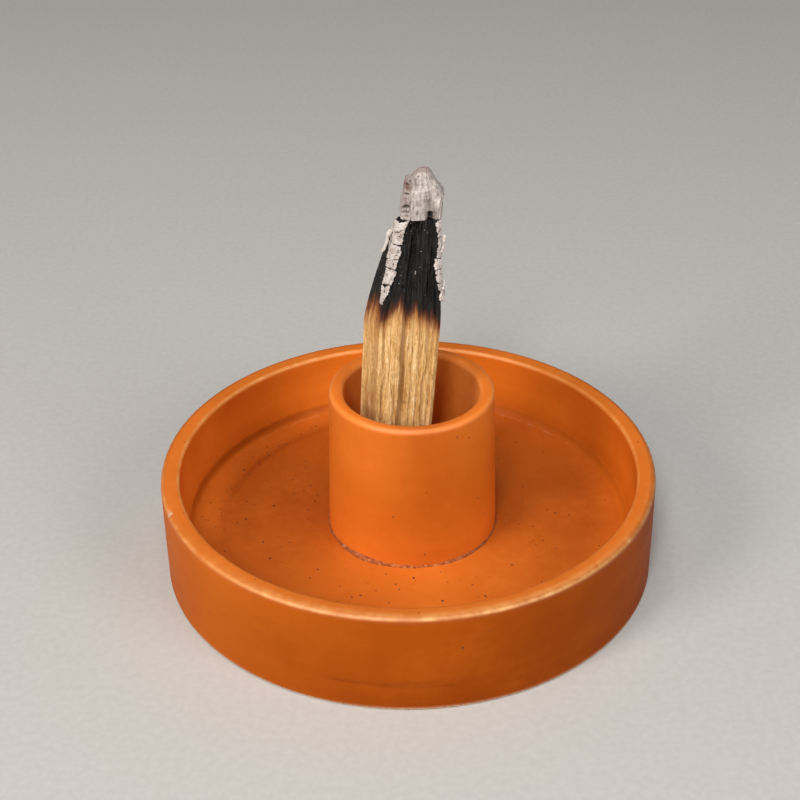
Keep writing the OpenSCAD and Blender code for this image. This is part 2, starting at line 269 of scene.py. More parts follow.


# Satin stoneware glaze, dipped and fired: cloudy orange, lighter where it thins on edges and where a
# highlight is painted, with iron specks and pinholes; deeper orange and iron brown painted in as shade; bare
# clay where it was wiped off the foot or chipped
def glazeMaterial(name, colours):
    material, tree, spot = newMaterial(name)
    shadeShare, edge, stain, bare = [
        addNode(tree, "ShaderNodeAttribute", {"attribute_name": label}).outputs["Fac"]
        for label in ("pooled", "edgeBreak", "stain", "bareClay")]
    cloud, mottle, grain = [
        addNode(tree, "ShaderNodeTexNoise",
                ins={"Vector": spot, "Scale": perMm(glaze[size]), "Detail": detail})
        for size, detail in (("cloudMm", 3), ("mottleMm", 4), ("grainMm", 2))]
    level = addNode(tree, "ShaderNodeMapping", ins={"Vector": spot, "Scale": (0.06, 0.06, 1)})
    streak = addNode(tree, "ShaderNodeTexNoise", ins={"Vector": level, "Scale": perMm(glaze["streakMm"])})
    tone = cloud
    for part in (mottle, streak):
        tone = addNode(tree, "ShaderNodeMath", {"operation": "MULTIPLY_ADD"}, {0: part, 1: 0.25, 2: tone})
    body, shadedBody = [
        addNode(tree, "ShaderNodeValToRGB",
                {"stops": [(0.5, tones["deep"]), (0.8, tones["body"]), (1.0, tones["light"])]}, {0: tone})
        for tones in (colours, glaze["pooled"])]
    ragged = addNode(tree, "ShaderNodeMath", {"operation": "MULTIPLY_ADD"},
                     {0: mottle, 1: colours["ragged"], 2: -0.54 * colours["ragged"]})
    thin = addNode(tree, "ShaderNodeMath", {"operation": "MULTIPLY_ADD", "use_clamp": True},
                   {0: ragged, 1: edge, 2: edge})
    cell = addNode(tree, "ShaderNodeTexVoronoi", ins={"Vector": spot, "Scale": perMm(glaze["speckMm"])})
    rare = addNode(tree, "ShaderNodeMath", {"operation": "MULTIPLY"}, {0: cell.outputs["Color"], 1: 0.055})
    speck = addNode(tree, "ShaderNodeMapRange",
                    ins={"Value": cell, "From Max": rare, "To Min": 0.75, "To Max": 0.0})
    dirtAndShade = addNode(tree, "ShaderNodeMath", {"operation": "MAXIMUM"}, {0: speck, 1: stain})
    clay = addNode(tree, "ShaderNodeValToRGB", {"stops": glaze["clay"]}, {0: grain})
    broken, iron = hexColour(colours["broken"]), hexColour(glaze["iron"])
    # layers: painted shade in deeper orange, the pale edge colour for thin glaze and painted highlights,
    # specks and painted shade in iron brown, bare clay
    colour = body
    for share, over in ((shadeShare, shadedBody), (thin, broken), (dirtAndShade, iron), (bare, clay)):
        colour = addNode(tree, "ShaderNodeMix", {"data_type": "RGBA"}, {0: share, 6: colour, 7: over})
    gloss = addNode(tree, "ShaderNodeMapRange",
                    ins={"Value": mottle, "From Min": 0.3, "From Max": 0.7, "To Min": 0.40, "To Max": 0.54})
    dry = addNode(tree, "ShaderNodeMix", {"data_type": "FLOAT"}, {0: bare, 2: gloss, 3: 0.9})
    hole = addNode(tree, "ShaderNodeTexVoronoi", ins={"Vector": spot, "Scale": perMm(glaze["pinholeMm"])})
    relief = addNode(tree, "ShaderNodeMapRange", ins={"Value": hole, "From Min": 0.02, "From Max": 0.06})
    for part, height in ((mottle, 0.7), (streak, 0.8)):
        relief = addNode(tree, "ShaderNodeMath", {"operation": "MULTIPLY_ADD"},
                         {0: part, 1: height, 2: relief})
    bump = addNode(tree, "ShaderNodeBump", ins={"Strength": 0.35, "Distance": 0.06 * mm, "Height": relief})
    shine = colours.get("shine")
    if shine is None:  # shinier on the rim
        shine = addNode(tree, "ShaderNodeAttribute", {"attribute_name": "sheen"}).outputs["Fac"]
    endMaterial(tree, {"Base Color": colour, "Roughness": dry, "Normal": bump, "IOR": 1.5,
                       "Specular IOR Level": shine})
    return material


glazeFloor = glazeMaterial("satin_glaze_floor", glaze["floor"])
glazeWall = glazeMaterial("satin_glaze_wall", glaze["wall"])
glazeCup = glazeMaterial("satin_glaze_cup", glaze["cup"])
slipWall = glazeMaterial("glazed_slip_wall", glaze["seam"])

slip = {
    "stops": [(0.36, "#843f13"), (0.52, "#b1591e"), (0.66, "#bb7e55"), (0.78, "#ead2b8")], "crack": "#6a3317",
    "lumpMm": 0.9, "crackMm": 1.5,
}

# Dry slip squeezed into a joint: chalky, pinkish where it is thick, split by brown cracks
slipCup, tree, spot = newMaterial("dry_slip_cup")
lump = addNode(tree, "ShaderNodeTexNoise", ins={"Vector": spot, "Scale": perMm(slip["lumpMm"]), "Detail": 4})
body = addNode(tree, "ShaderNodeValToRGB", {"stops": slip["stops"]}, {0: lump})
cell = addNode(tree, "ShaderNodeTexVoronoi", {"feature": "DISTANCE_TO_EDGE"},
               {"Vector": spot, "Scale": perMm(slip["crackMm"])})
crack = addNode(tree, "ShaderNodeMapRange",
                ins={"Value": cell, "From Max": 0.05, "To Min": 0.5, "To Max": 0.0})
thin = addNode(tree, "ShaderNodeAttribute", {"attribute_name": "stain"})
dirtAndShade = addNode(tree, "ShaderNodeMath", {"operation": "MAXIMUM"}, {0: crack, 1: thin.outputs["Fac"]})
split = addNode(tree, "ShaderNodeMix", {"data_type": "RGBA"}, {0: dirtAndShade, 6: body, 7: hexColour(slip["crack"])})
height = addNode(tree, "ShaderNodeMath", {"operation": "SUBTRACT"}, {0: lump, 1: crack})
bump = addNode(tree, "ShaderNodeBump", ins={"Strength": 0.7, "Distance": 0.15 * mm, "Height": height})
endMaterial(tree, {"Base Color": split, "Normal": bump, "Roughness": 0.82})
print("glaze and slip made")


# Glazed ware: a turned outline swept round the wheel's axis

ware = {
    "trayR": 50, "trayH": 21.6, "wallT": 3.8, "rimRound": 0.9, "floorZ": 7.9,
    "footH": 3, "footW": 5, "footRound": 0.7, "wallLeg": 2, "coveR": 38.5, "coveRise": 0.32, "coveSoft": 2.6,
    "taper": 1.5, "taperH": 10.5, "coveLeg": 1.7, "coveTop": 1.9, "footShadeAmount": 0.45, "footShadeH": 6,
    "boreR": 13.6, "cupRimR": 16.4, "cupFootR": 17.2, "cupTop": 39.5, "cupRound": 1.2, "beadR": 1.1,
    "cupAt": (0.8, 0.1), "around": 288, "wobble": 0.16, "wobbleMm": 34, "seed": 7,
}
trayR, trayH, floorZ = ware["trayR"], ware["trayH"], ware["floorZ"]
boreR, cupRimR, cupFootR, cupTop = ware["boreR"], ware["cupRimR"], ware["cupFootR"], ware["cupTop"]
cupCentre = ware["cupAt"]


def turnedOutline(corners, step, closed):  # corners: r, z, rounding, thin glaze and painted highlight there
    path = []
    count = len(corners)
    for i, corner in enumerate(corners):
        here, rounding = np.array(corner[:2], float), corner[2]
        if rounding <= 0 or (not closed and i in (0, count - 1)):
            path.append(here)
            continue
        before = np.array(corners[i - 1][:2], float) - here
        after = np.array(corners[(i + 1) % count][:2], float) - here
        before /= np.linalg.norm(before)
        after /= np.linalg.norm(after)
        half = math.acos(np.clip(before @ after, -1, 1)) / 2
        reach = rounding / math.tan(half)
        first, last = here + before * reach, here + after * reach
        middle = here + (before + after) / np.linalg.norm(before + after) * rounding / math.sin(half)
        for k in np.linspace(0, 1, 8):
            ray = first + (last - first) * k - middle
            path.append(middle + ray / np.linalg.norm(ray) * rounding)
    fine = []
    for a, b in zip(path, path[1:] + (path[:1] if closed else [])):
        parts = max(1, int(math.ceil(np.linalg.norm(b - a) / step)))
        fine += [a + (b - a) * k / parts for k in range(parts)]
    if not closed:
        fine.append(path[-1])
    fine = np.array(fine)
    thin = np.zeros(len(fine))
    for r, z, rounding, edge in corners:
        away = np.linalg.norm(fine - np.array((r, z)), axis=1)
        thin = np.maximum(thin, edge * np.exp(-(np.maximum(0, away - rounding * 0.42) / 0.22) ** 2))
    return fine, thin


# Tree: row i of a grid takes point i of the outline, column j turns it round the axis, then the clay wobbles
def turnedTree():
    tree, given = newTree("turned_ware", [
        ("Rows", "NodeSocketInt"), ("Around", "NodeSocketInt"), ("Outline Points", "NodeSocketInt"),
        ("Centre", "NodeSocketVector"), ("Wobble", "NodeSocketFloat"), ("Wobble Size", "NodeSocketFloat"),
        ("Full Wobble Radius", "NodeSocketFloat"), ("Seed", "NodeSocketFloat"),
        ("Material", "NodeSocketMaterial")])
    grid = addNode(tree, "GeometryNodeMeshGrid",
                   ins={"Vertices X": given["Rows"], "Vertices Y": given["Around"]})
    index = addNode(tree, "GeometryNodeInputIndex")
    share = addNode(tree, "ShaderNodeMath", {"operation": "DIVIDE"}, {0: index, 1: given["Around"]})
    row = addNode(tree, "ShaderNodeMath", {"operation": "FLOOR"}, {0: share})
    rowIn = addNode(tree, "ShaderNodeMath", {"operation": "MODULO"}, {0: row, 1: given["Outline Points"]})
    col = addNode(tree, "ShaderNodeMath", {"operation": "MODULO"}, {0: index, 1: given["Around"]})
    last = addNode(tree, "ShaderNodeMath", {"operation": "SUBTRACT"}, {0: given["Around"], 1: 1.0})
    part = addNode(tree, "ShaderNodeMath", {"operation": "DIVIDE"}, {0: col, 1: last})
    angle = addNode(tree, "ShaderNodeMath", {"operation": "MULTIPLY"}, {0: part, 1: 2 * math.pi})
    where = addNode(tree, "GeometryNodeInputPosition")
    outline = addNode(tree, "GeometryNodeSampleIndex", {"data_type": "FLOAT_VECTOR", "domain": "POINT"},
                      {"Geometry": given["Geometry"], "Value": where, "Index": rowIn})
    thin = addNode(tree, "GeometryNodeInputNamedAttribute", {"data_type": "FLOAT"}, {"Name": "edgeBreak"})
    edge = addNode(tree, "GeometryNodeSampleIndex", {"data_type": "FLOAT", "domain": "POINT"},
                   {"Geometry": given["Geometry"], "Value": thin, "Index": rowIn})
    kept = addNode(tree, "GeometryNodeStoreNamedAttribute", {"data_type": "FLOAT", "domain": "POINT"},
                   {"Geometry": grid, "Name": "edgeBreak", "Value": edge})
    parts = addNode(tree, "ShaderNodeSeparateXYZ", ins={0: outline})
    spoke = addNode(tree, "ShaderNodeCombineXYZ", ins={"X": parts.outputs["X"], "Z": parts.outputs["Z"]})
    turned = addNode(tree, "ShaderNodeVectorRotate", {"rotation_type": "Z_AXIS"},
                     {"Vector": spoke, "Angle": angle})
    moved = addNode(tree, "ShaderNodeVectorMath", {"operation": "ADD"}, {0: turned, 1: given["Centre"]})
    swept = addNode(tree, "GeometryNodeSetPosition", ins={"Geometry": kept, "Position": moved})
    joined = addNode(tree, "GeometryNodeMergeByDistance", ins={"Geometry": swept, "Distance": 2e-6})
    here = addNode(tree, "GeometryNodeInputPosition")
    sized = addNode(tree, "ShaderNodeVectorMath", {"operation": "SCALE"},
                    {0: here, "Scale": given["Wobble Size"]})
    soft = addNode(tree, "ShaderNodeTexNoise", {"noise_dimensions": "4D"},
                   {"Vector": sized, "W": given["Seed"], "Scale": 1.0, "Detail": 1.5})
    signed = addNode(tree, "ShaderNodeVectorMath", {"operation": "SUBTRACT"},
                     {0: soft.outputs["Color"], 1: (0.5, 0.5, 0.5)})
    flat = addNode(tree, "ShaderNodeVectorMath", {"operation": "MULTIPLY"}, {0: here, 1: (1, 1, 0)})
    reach = addNode(tree, "ShaderNodeVectorMath", {"operation": "LENGTH"}, {0: flat})
    far = addNode(tree, "ShaderNodeMath", {"operation": "DIVIDE"}, {0: reach, 1: given["Full Wobble Radius"]})
    size = addNode(tree, "ShaderNodeMath", {"operation": "MULTIPLY"}, {0: far, 1: given["Wobble"]})
    push = addNode(tree, "ShaderNodeVectorMath", {"operation": "SCALE"}, {0: signed, "Scale": size})
    wobbled = addNode(tree, "GeometryNodeSetPosition", ins={"Geometry": joined, "Offset": push})
    plain = addNode(tree, "GeometryNodeRealizeInstances", ins={0: wobbled})
    finish = addNode(tree, "GeometryNodeSetMaterial", ins={"Geometry": plain, "Material": given["Material"]})
    addNode(tree, "NodeGroupOutput", ins={0: finish})
    return tree


wareTree = turnedTree()


def turnPiece(name, corners, material, step=0.25, closed=True, centre=(0, 0)):
    outline, thin = turnedOutline(corners, step, closed)
    rows = len(outline)
    mesh = meshFrom(name + ".outline", np.c_[outline[:, 0], np.zeros(rows), outline[:, 1]], [])
    setFloats(mesh, "edgeBreak", thin)
    baked = bakeTree(name, mesh, wareTree, {
        "Rows": rows + 1 if closed else rows, "Around": ware["around"] + 1, "Outline Points": rows,
        "Centre": (centre[0] * mm, centre[1] * mm, 0.0), "Wobble": 2 * ware["wobble"] * mm,
        "Wobble Size": perMm(ware["wobbleMm"]), "Full Wobble Radius": trayR * mm, "Seed": float(ware["seed"]),
        "Material": material})
    turnOutwards(baked)
    baked.shade_smooth()
    baked.set_sharp_from_angle(angle=math.radians(38))
    return baked


innerR = trayR - ware["wallT"]
seamLow = floorZ + ware["coveRise"]
coveRun = innerR - ware["wallLeg"] - ware["coveR"]
rise = ware["coveRise"] / coveRun
coveRound = ware["coveSoft"] / math.tan(math.atan2(ware["coveRise"], coveRun) / 2)
footIn = trayR - ware["footW"]
slabMesh = turnPiece("floorSlab", [
    (0, floorZ, 0, 0), (ware["coveR"], floorZ, coveRound, 0), (innerR - ware["wallLeg"], seamLow, 0, 0),
    (innerR + 0.3, seamLow, 0, 0), (innerR + 0.3, floorZ, 0, 0), (trayR, floorZ, 0, 0),
    (trayR, 0, ware["footRound"], 0.5), (footIn, 0, 0.5, 0.3), (footIn, ware["footH"], 1.2, 0),
    (0, ware["footH"], 0, 0)], glazeFloor, step=0.45, closed=False)


def wallInside(z):  # radius of the wall's inner face, drawn in towards its foot
    return innerR - ware["taper"] * (1 - min(1, (z - floorZ) / ware["taperH"])) ** 1.7


taperZ = floorZ + ware["taperH"] * np.linspace(1, 0, 24)
wallMesh = turnPiece("wallRing", [
    (trayR, floorZ, 0, 0), (trayR, trayH, ware["rimRound"], 0.6), (innerR, trayH, ware["rimRound"], 0.45)]
    + [(wallInside(z), z, 0, 0) for z in taperZ], glazeWall)

# The cove leaves the floor along its rise and meets the wall along its slope
coveTop = seamLow + ware["coveTop"]
topR = wallInside(coveTop)
slope = (wallInside(coveTop + 0.1) - topR) / 0.1
startR = topR - ware["coveLeg"]
startZ = floorZ + rise * (startR - ware["coveR"])
bendZ = (startZ + rise * (topR - slope * coveTop - startR)) / (1 - rise * slope)
low = np.array((startR, startZ - 0.01))
bend = np.array((topR - slope * (coveTop - bendZ), bendZ))
high = np.array((topR - 0.01, coveTop))
cove = [tuple((1 - k) ** 2 * low + 2 * k * (1 - k) * bend + k * k * high) + (0, 0)
        for k in np.linspace(0, 1, 25)]
cove[1] = cove[1][:3] + (0.6,)  # the glaze breaks pale at the foot of the cove
seamMesh = turnPiece("wallSeam", [
    (startR, startZ - 0.2, 0, 0), (innerR, startZ - 0.2, 0, 0), (innerR, coveTop, 0, 0)] + cove[::-1],
    slipWall, step=0.15)
cupMesh = turnPiece("cupTube", [
    (boreR, floorZ, 0, 0), (cupFootR, floorZ, 0, 0), (cupRimR, cupTop, ware["cupRound"], 0.34),
    (boreR, cupTop, ware["cupRound"], 0.3)], glazeCup, step=0.35, centre=cupCentre)
bead = [(cupFootR + ware["beadR"] * math.cos(a), floorZ + ware["beadR"] * math.sin(a), 0, 0)
        for a in np.linspace(0, math.pi / 2, 8)]
beadMesh = turnPiece("cupSeam", [(cupFootR, floorZ, 0, 0)] + bead, slipCup, step=0.2, centre=cupCentre)

# Wiped foot, a chip on the rim and scored lines low on the front: height, two bearings and depth of each
wear = {
    "chipAt": (-46.9, -17.0, 21.4), "chipR": 1.25, "chipDeep": 0.5, "chipTowards": (0.75, 0.27, -0.6),
    "scores": [(6.3, -110, -84, 0.07), (5.5, -99, -76, 0.05), (6.9, -95, -80, 0.035)], "stain": 0.3,
}
sheen = {"outside": 0.03, "cup": 0.22, "rim": 0.45}
# Painted shade in a deeper orange: an amount all over, then the amount, bearing and spread in degrees of each
# patch
pooled = {
    "outside": (1.0, (-0.44, 208, 42)), "floor": (0.66, (-0.42, -90, 55)), "floorRing": (0, (0.16, 140, 40)),
    "floorSides": (0, (0.22, 165, 70), (0.16, 0, 45)), "rim": (0.18, (0.24, -95, 50)),
    "inside": (0, (0.22, 0, 50), (0.08, 90, 40)), "cove": (0.1, (0.3, 150, 50)), "cup": (0, (0.46, -80, 28)),
}
# Pale edge colour: glaze thinning on edges, with painted highlights on the rims and painted light in the
# bore; the same kind of patches
thinnedAndLit = {
    "outerRimLit": (0.35, (0.65, -70, 75)), "innerRimLit": (0.5, (0.5, 130, 75)), "rimTopHighlight": (0, (0.38, -80, 55)),
    "cove": (0, (1, 86, 32)), "bore": (0.25, (0.7, 10, 40), (0.45, 150, 35)),
}
# Iron brown: painted shade on the outside, low on its front and in the cove, and a browner bead; the same
# kind of patches
stainedAndShaded = {
    "outside": (0.02, (0.19, -15, 52)), "foot": (0, (0.2, -85, 50)),
    "cove": (0.03, (0.1, 150, 45), (0.09, 20, 35)),
    "bead": (1.15, (-1.3, -97, 48)),
}


def patches(bearing, allOver, *spread):
    return allOver + sum(amount * facingSide(bearing, towards, wide) for amount, towards, wide in spread)


def outsideShadeAt(bearing, z):  # painted shade: lighter on the left, darker towards the foot
    return ramp01(patches(bearing, *pooled["outside"]) - 0.12 * z / trayH)


def outsideBrownShadeAt(bearing, z):  # painted shade: a little browner at the right and low down
    return patches(bearing, *stainedAndShaded["outside"]) + patches(bearing, *stainedAndShaded["foot"]) * ramp01(1 - z / trayH)


def floorShadeAt(bearing, radius):  # painted shade: darker on the floor's left, lighter at its front
    sides = patches(bearing, *pooled["floorSides"]) * ramp01((42 - radius) / 4)
    return patches(bearing, *pooled["floor"]) + sides


# Slab: its edge and foot shine as the wall does
spots = pointsOf(slabMesh)
spots[:, 2] = np.maximum(spots[:, 2], 0)
setFloats(slabMesh, "bareClay", ramp01((0.75 - spots[:, 2]) / 0.3))
radius, bearing = radiusAndBearing(spots)
outside = radius > trayR - 1
# painted shade in deeper orange on the floor and the outside, with a faint painted ring at the back left
floorShade = floorShadeAt(bearing, radius) + patches(bearing, *pooled["floorRing"]) * dip(radius, 38.3, 0.8)
setFloats(slabMesh, "pooled", np.where(outside, outsideShadeAt(bearing, spots[:, 2]), floorShade))
setFloats(slabMesh, "sheen", np.full(len(spots), sheen["outside"]))
slabMesh.materials.append(glazeWall)
middle = np.zeros(len(slabMesh.polygons) * 3)
slabMesh.polygons.foreach_get("center", middle)
middle = middle.reshape(-1, 3) / mm
outsideFace = (np.hypot(middle[:, 0], middle[:, 1]) > innerR + 0.5) | (middle[:, 2] < floorZ - 1)
slabMesh.polygons.foreach_set("material_index", outsideFace.astype(np.int32))
outward = spots * (1, 1, 0) / np.maximum(radius, 1e-6)[:, None]
# iron brown painted as shade on the outside, and in the scored lines as shade in the grooves
stain = outsideBrownShadeAt(bearing, spots[:, 2]) * outside
for height, start, end, deep in wear["scores"]:
    along = ramp01((bearing - start) / 5) * ramp01((end - bearing) / 5) * outside
    broken = 0.75 + 0.25 * np.sin(bearing * 1.9 + height * 9)
    cut = along * dip(spots[:, 2], height + 0.012 * (bearing + 90), 0.26) * broken
    spots -= outward * (deep * cut)[:, None]
    stain = stain + wear["stain"] * cut * deep / 0.07
setPoints(slabMesh, spots)
setFloats(slabMesh, "stain", stain)

# Wall: the chip, then painted shade, and pale rim edges from thin glaze and painted highlights
spots = pointsOf(wallMesh)
away = np.linalg.norm(spots - wear["chipAt"], axis=1)
rough = 0.75 + 0.25 * np.sin(spots[:, 0] * 7 + spots[:, 1] * 11) * np.sin(spots[:, 2] * 9)
bite = ramp01(1 - away / (wear["chipR"] * rough))
setPoints(wallMesh, spots + np.array(wear["chipTowards"]) * (wear["chipDeep"] * np.sqrt(bite))[:, None])
setFloats(wallMesh, "bareClay", ramp01(bite * 2.2))
radius, bearing = radiusAndBearing(spots)
outer = ramp01((radius - 48.5) / 1.2)
inside = radius < innerR + 0.8
# painted shade in iron brown outside, then in deeper orange outside, on the rim, inside and low on the inner
# wall
setFloats(wallMesh, "stain", outsideBrownShadeAt(bearing, spots[:, 2]) * outer)
rimShade = patches(bearing, *pooled["rim"]) * ramp01(spots[:, 2] - trayH + 1)
lowWallShade = ware["footShadeAmount"] * ramp01(1 - (spots[:, 2] - seamLow) / ware["footShadeH"]) ** 1.3
insideShade = (patches(bearing, *pooled["inside"]) + lowWallShade) * inside
setFloats(wallMesh, "pooled", np.max([outsideShadeAt(bearing, spots[:, 2]) * outer, rimShade, insideShade], axis=0))
# pale rim edges: thin glaze with painted highlights, stronger at the front outside and the back left inside,
# and a painted highlight band on the front of the rim's top
turns = np.radians(bearing)
uneven = 0.92 + 0.3 * np.sin(turns * 11 + math.radians(40)) * np.sin(turns * 17) + 0.12 * np.sin(turns * 41)
outerRimLit, innerRimLit = patches(bearing, *thinnedAndLit["outerRimLit"]), patches(bearing, *thinnedAndLit["innerRimLit"])
rimThinAndLit = uneven * np.where(radius > 48, outerRimLit, innerRimLit)
onTop = ramp01((spots[:, 2] - trayH + 0.2) / 0.15)
rimTopHighlight = uneven * patches(bearing, *thinnedAndLit["rimTopHighlight"]) * dip(radius, 49.1, 0.8) * onTop
setFloats(wallMesh, "edgeBreak", np.maximum(floatsOf(wallMesh, "edgeBreak") * rimThinAndLit, rimTopHighlight))

# Cove: from the floor's painted shade to the wall's, darker in its hollow as painted shade
spots = pointsOf(seamMesh)
radius, bearing = radiusAndBearing(spots)
climb = ramp01((spots[:, 2] - seamLow) / ware["coveTop"])
hollow = 4 * climb * (1 - climb)
topShade = ware["footShadeAmount"] * (1 - ware["coveTop"] / ware["footShadeH"]) ** 1.3
lowShade = floorShadeAt(bearing, radius)
setFloats(seamMesh, "edgeBreak", floatsOf(seamMesh, "edgeBreak") * patches(bearing, *thinnedAndLit["cove"]))
shaded = patches(bearing, *pooled["cove"]) * hollow
setFloats(seamMesh, "pooled", ramp01(lowShade + (topShade - lowShade) * climb + shaded))
# iron brown in the hollow as painted shade
setFloats(seamMesh, "stain", patches(bearing, *stainedAndShaded["cove"]) * hollow)
for mesh, low, top in ((wallMesh, sheen["outside"], trayH), (cupMesh, sheen["cup"], cupTop)):
    nearRim = ramp01((pointsOf(mesh)[:, 2] - top + 1.3) / 0.8)
    setFloats(mesh, "sheen", low + (sheen["rim"] - low) * nearRim)

# Cup: painted shade on the front, painted light high in the bore
spots = pointsOf(cupMesh)
radius, bearing = radiusAndBearing(spots, cupCentre)
inBore = ramp01((boreR + 0.5 - radius) / 0.4) * ramp01((spots[:, 2] - 14) / 20)
setFloats(cupMesh, "pooled", patches(bearing, *pooled["cup"]) * (1 - ramp01(inBore * 5)))
boreLight = inBore * patches(bearing, *thinnedAndLit["bore"])
setFloats(cupMesh, "edgeBreak", np.maximum(floatsOf(cupMesh, "edgeBreak"), boreLight))

# The bead was pressed in by hand, so it swells and breaks along its length
lumps = {"patches": (0.22, (0.5, -126, 15), (0.2, -96, 12), (0.2, -58, 14)), "waves": (5, 9, 14, 23, 37),
         "seed": 19}
spots = pointsOf(beadMesh)
rng = np.random.default_rng(lumps["seed"])
radius, bearing = radiusAndBearing(spots, cupCentre)
turns = np.radians(bearing)
swell = sum(rng.uniform(0.4, 1) * np.sin(turns * k + rng.uniform(0, 6.28)) for k in lumps["waves"]) / 5
outR, upZ = radius - cupFootR, spots[:, 2] - floorZ
lump = np.clip(patches(bearing, *lumps["patches"]) + 0.26 * swell, 0.08, 0.9)
grow = np.where((outR > 0.05) | (upZ > 0.05), lump, 1)
newR = cupFootR + np.where(outR > 0.02, outR * grow, outR)
spots[:, :2] = cupCentre + np.c_[np.cos(turns), np.sin(turns)] * newR[:, None]
spots[:, 2] = floorZ + np.where(upZ > 0.02, upZ * grow, upZ)
setPoints(beadMesh, spots)
# browner everywhere but at the front
setFloats(beadMesh, "stain", 0.7 * ramp01(patches(bearing, *stainedAndShaded["bead"])))

for name, mesh, slot, node in (
        ("floorSlab", slabMesh, "glaze_floor", "floor_slab"),
        ("wallRing", wallMesh, "glaze_wall", "wall_ring"),
        ("wallSeam", seamMesh, "slip_wall", "wall_seam"), ("cupTube", cupMesh, "glaze_cup", "cup_tube"),
        ("cupSeam", beadMesh, "slip_cup", "cup_seam")):
    place(name, mesh, "holder", nodes=(node,), smooth=False)
print("ware turned")


# Grains: one tree sets a small flattened lump on every point it is given

def grainTree():
    tree, given = newTree("set_grains", [
        ("Flatness", "NodeSocketFloat"), ("Lumpiness", "NodeSocketFloat"), ("Lump Scale", "NodeSocketFloat"),
        ("Seed", "NodeSocketInt"), ("Material", "NodeSocketMaterial")])
    ball = addNode(tree, "GeometryNodeMeshIcoSphere", ins={"Radius": 1.0, "Subdivisions": 2})
    squeeze = addNode(tree, "ShaderNodeCombineXYZ", ins={"X": 1.0, "Y": 0.8, "Z": given["Flatness"]})
    pressed = addNode(tree, "GeometryNodeTransform", ins={"Geometry": ball, "Scale": squeeze})
    facing = addNode(tree, "GeometryNodeInputNamedAttribute", {"data_type": "FLOAT_VECTOR"},
                     {"Name": "facing"})
    girth = addNode(tree, "GeometryNodeInputNamedAttribute", {"data_type": "FLOAT"}, {"Name": "girth"})
    spin = addNode(tree, "FunctionNodeRandomValue", {"data_type": "FLOAT"},
                   {2: 0.0, 3: 6.28, "Seed": given["Seed"]})
    spun = addNode(tree, "ShaderNodeCombineXYZ", ins={"Z": spin})
    stood = addNode(tree, "FunctionNodeAlignRotationToVector", {"axis": "Z"}, {"Vector": facing})
    first = addNode(tree, "FunctionNodeEulerToRotation", ins={0: spun})
    both = addNode(tree, "FunctionNodeRotateRotation", {"rotation_space": "LOCAL"},
                   {"Rotation": stood, "Rotate By": first})
    lumps = addNode(tree, "GeometryNodeInstanceOnPoints",
                    ins={"Points": given["Geometry"], "Instance": pressed, "Rotation": both, "Scale": girth})
    plain = addNode(tree, "GeometryNodeRealizeInstances", ins={0: lumps})
    where = addNode(tree, "GeometryNodeInputPosition")
    rough = addNode(tree, "ShaderNodeTexNoise",
                    ins={"Vector": where, "Scale": given["Lump Scale"], "Detail": 1.0})
    off = addNode(tree, "ShaderNodeVectorMath", {"operation": "SUBTRACT"},
                  {0: rough.outputs["Color"], 1: (0.5, 0.5, 0.5)})
    push = addNode(tree, "ShaderNodeVectorMath", {"operation": "SCALE"},
                   {0: off, "Scale": given["Lumpiness"]})
    shaped = addNode(tree, "GeometryNodeSetPosition", ins={"Geometry": plain, "Offset": push})
    finish = addNode(tree, "GeometryNodeSetMaterial", ins={"Geometry": shaped, "Material": given["Material"]})
    addNode(tree, "NodeGroupOutput", ins={0: finish})
    return tree


grains = grainTree()


# lots: the spot, facing and girth of each grain
def setGrains(name, lots, material, body, flatness, lumpiness, seed):
    points, facing, girth = (np.array(part) for part in zip(*lots))
    mesh = meshFrom(name + ".points", points, [])
    layer = mesh.attributes.new("facing", "FLOAT_VECTOR", "POINT")
    layer.data.foreach_set("vector", facing.astype(np.float32).ravel())
    setFloats(mesh, "girth", girth * mm)
    baked = bakeTree(name, mesh, grains, {"Flatness": flatness, "Lumpiness": lumpiness * mm,
                     "Lump Scale": perMm(0.35), "Seed": seed, "Material": material})
    place(name, baked, body)


# Iron blebs melted into the glaze: dark brown, a little glossier than the glaze, soft at the edge
ironBleb, tree, spot = newMaterial("iron_bleb_in_glaze")
burnt = addNode(tree, "ShaderNodeTexNoise", ins={"Vector": spot, "Scale": perMm(0.5)})
tint = addNode(tree, "ShaderNodeValToRGB", {"stops": [(0.35, "#3a1608"), (0.7, "#76330f")]}, {0: burnt})
skin = addNode(tree, "ShaderNodeBump", ins={"Strength": 0.3, "Distance": 0.03 * mm, "Height": burnt})
gloss = addNode(tree, "ShaderNodeMapRange", ins={"Value": burnt, "To Min": 0.35, "To Max": 0.55})
endMaterial(tree, {"Base Color": tint, "Normal": skin, "Roughness": gloss})

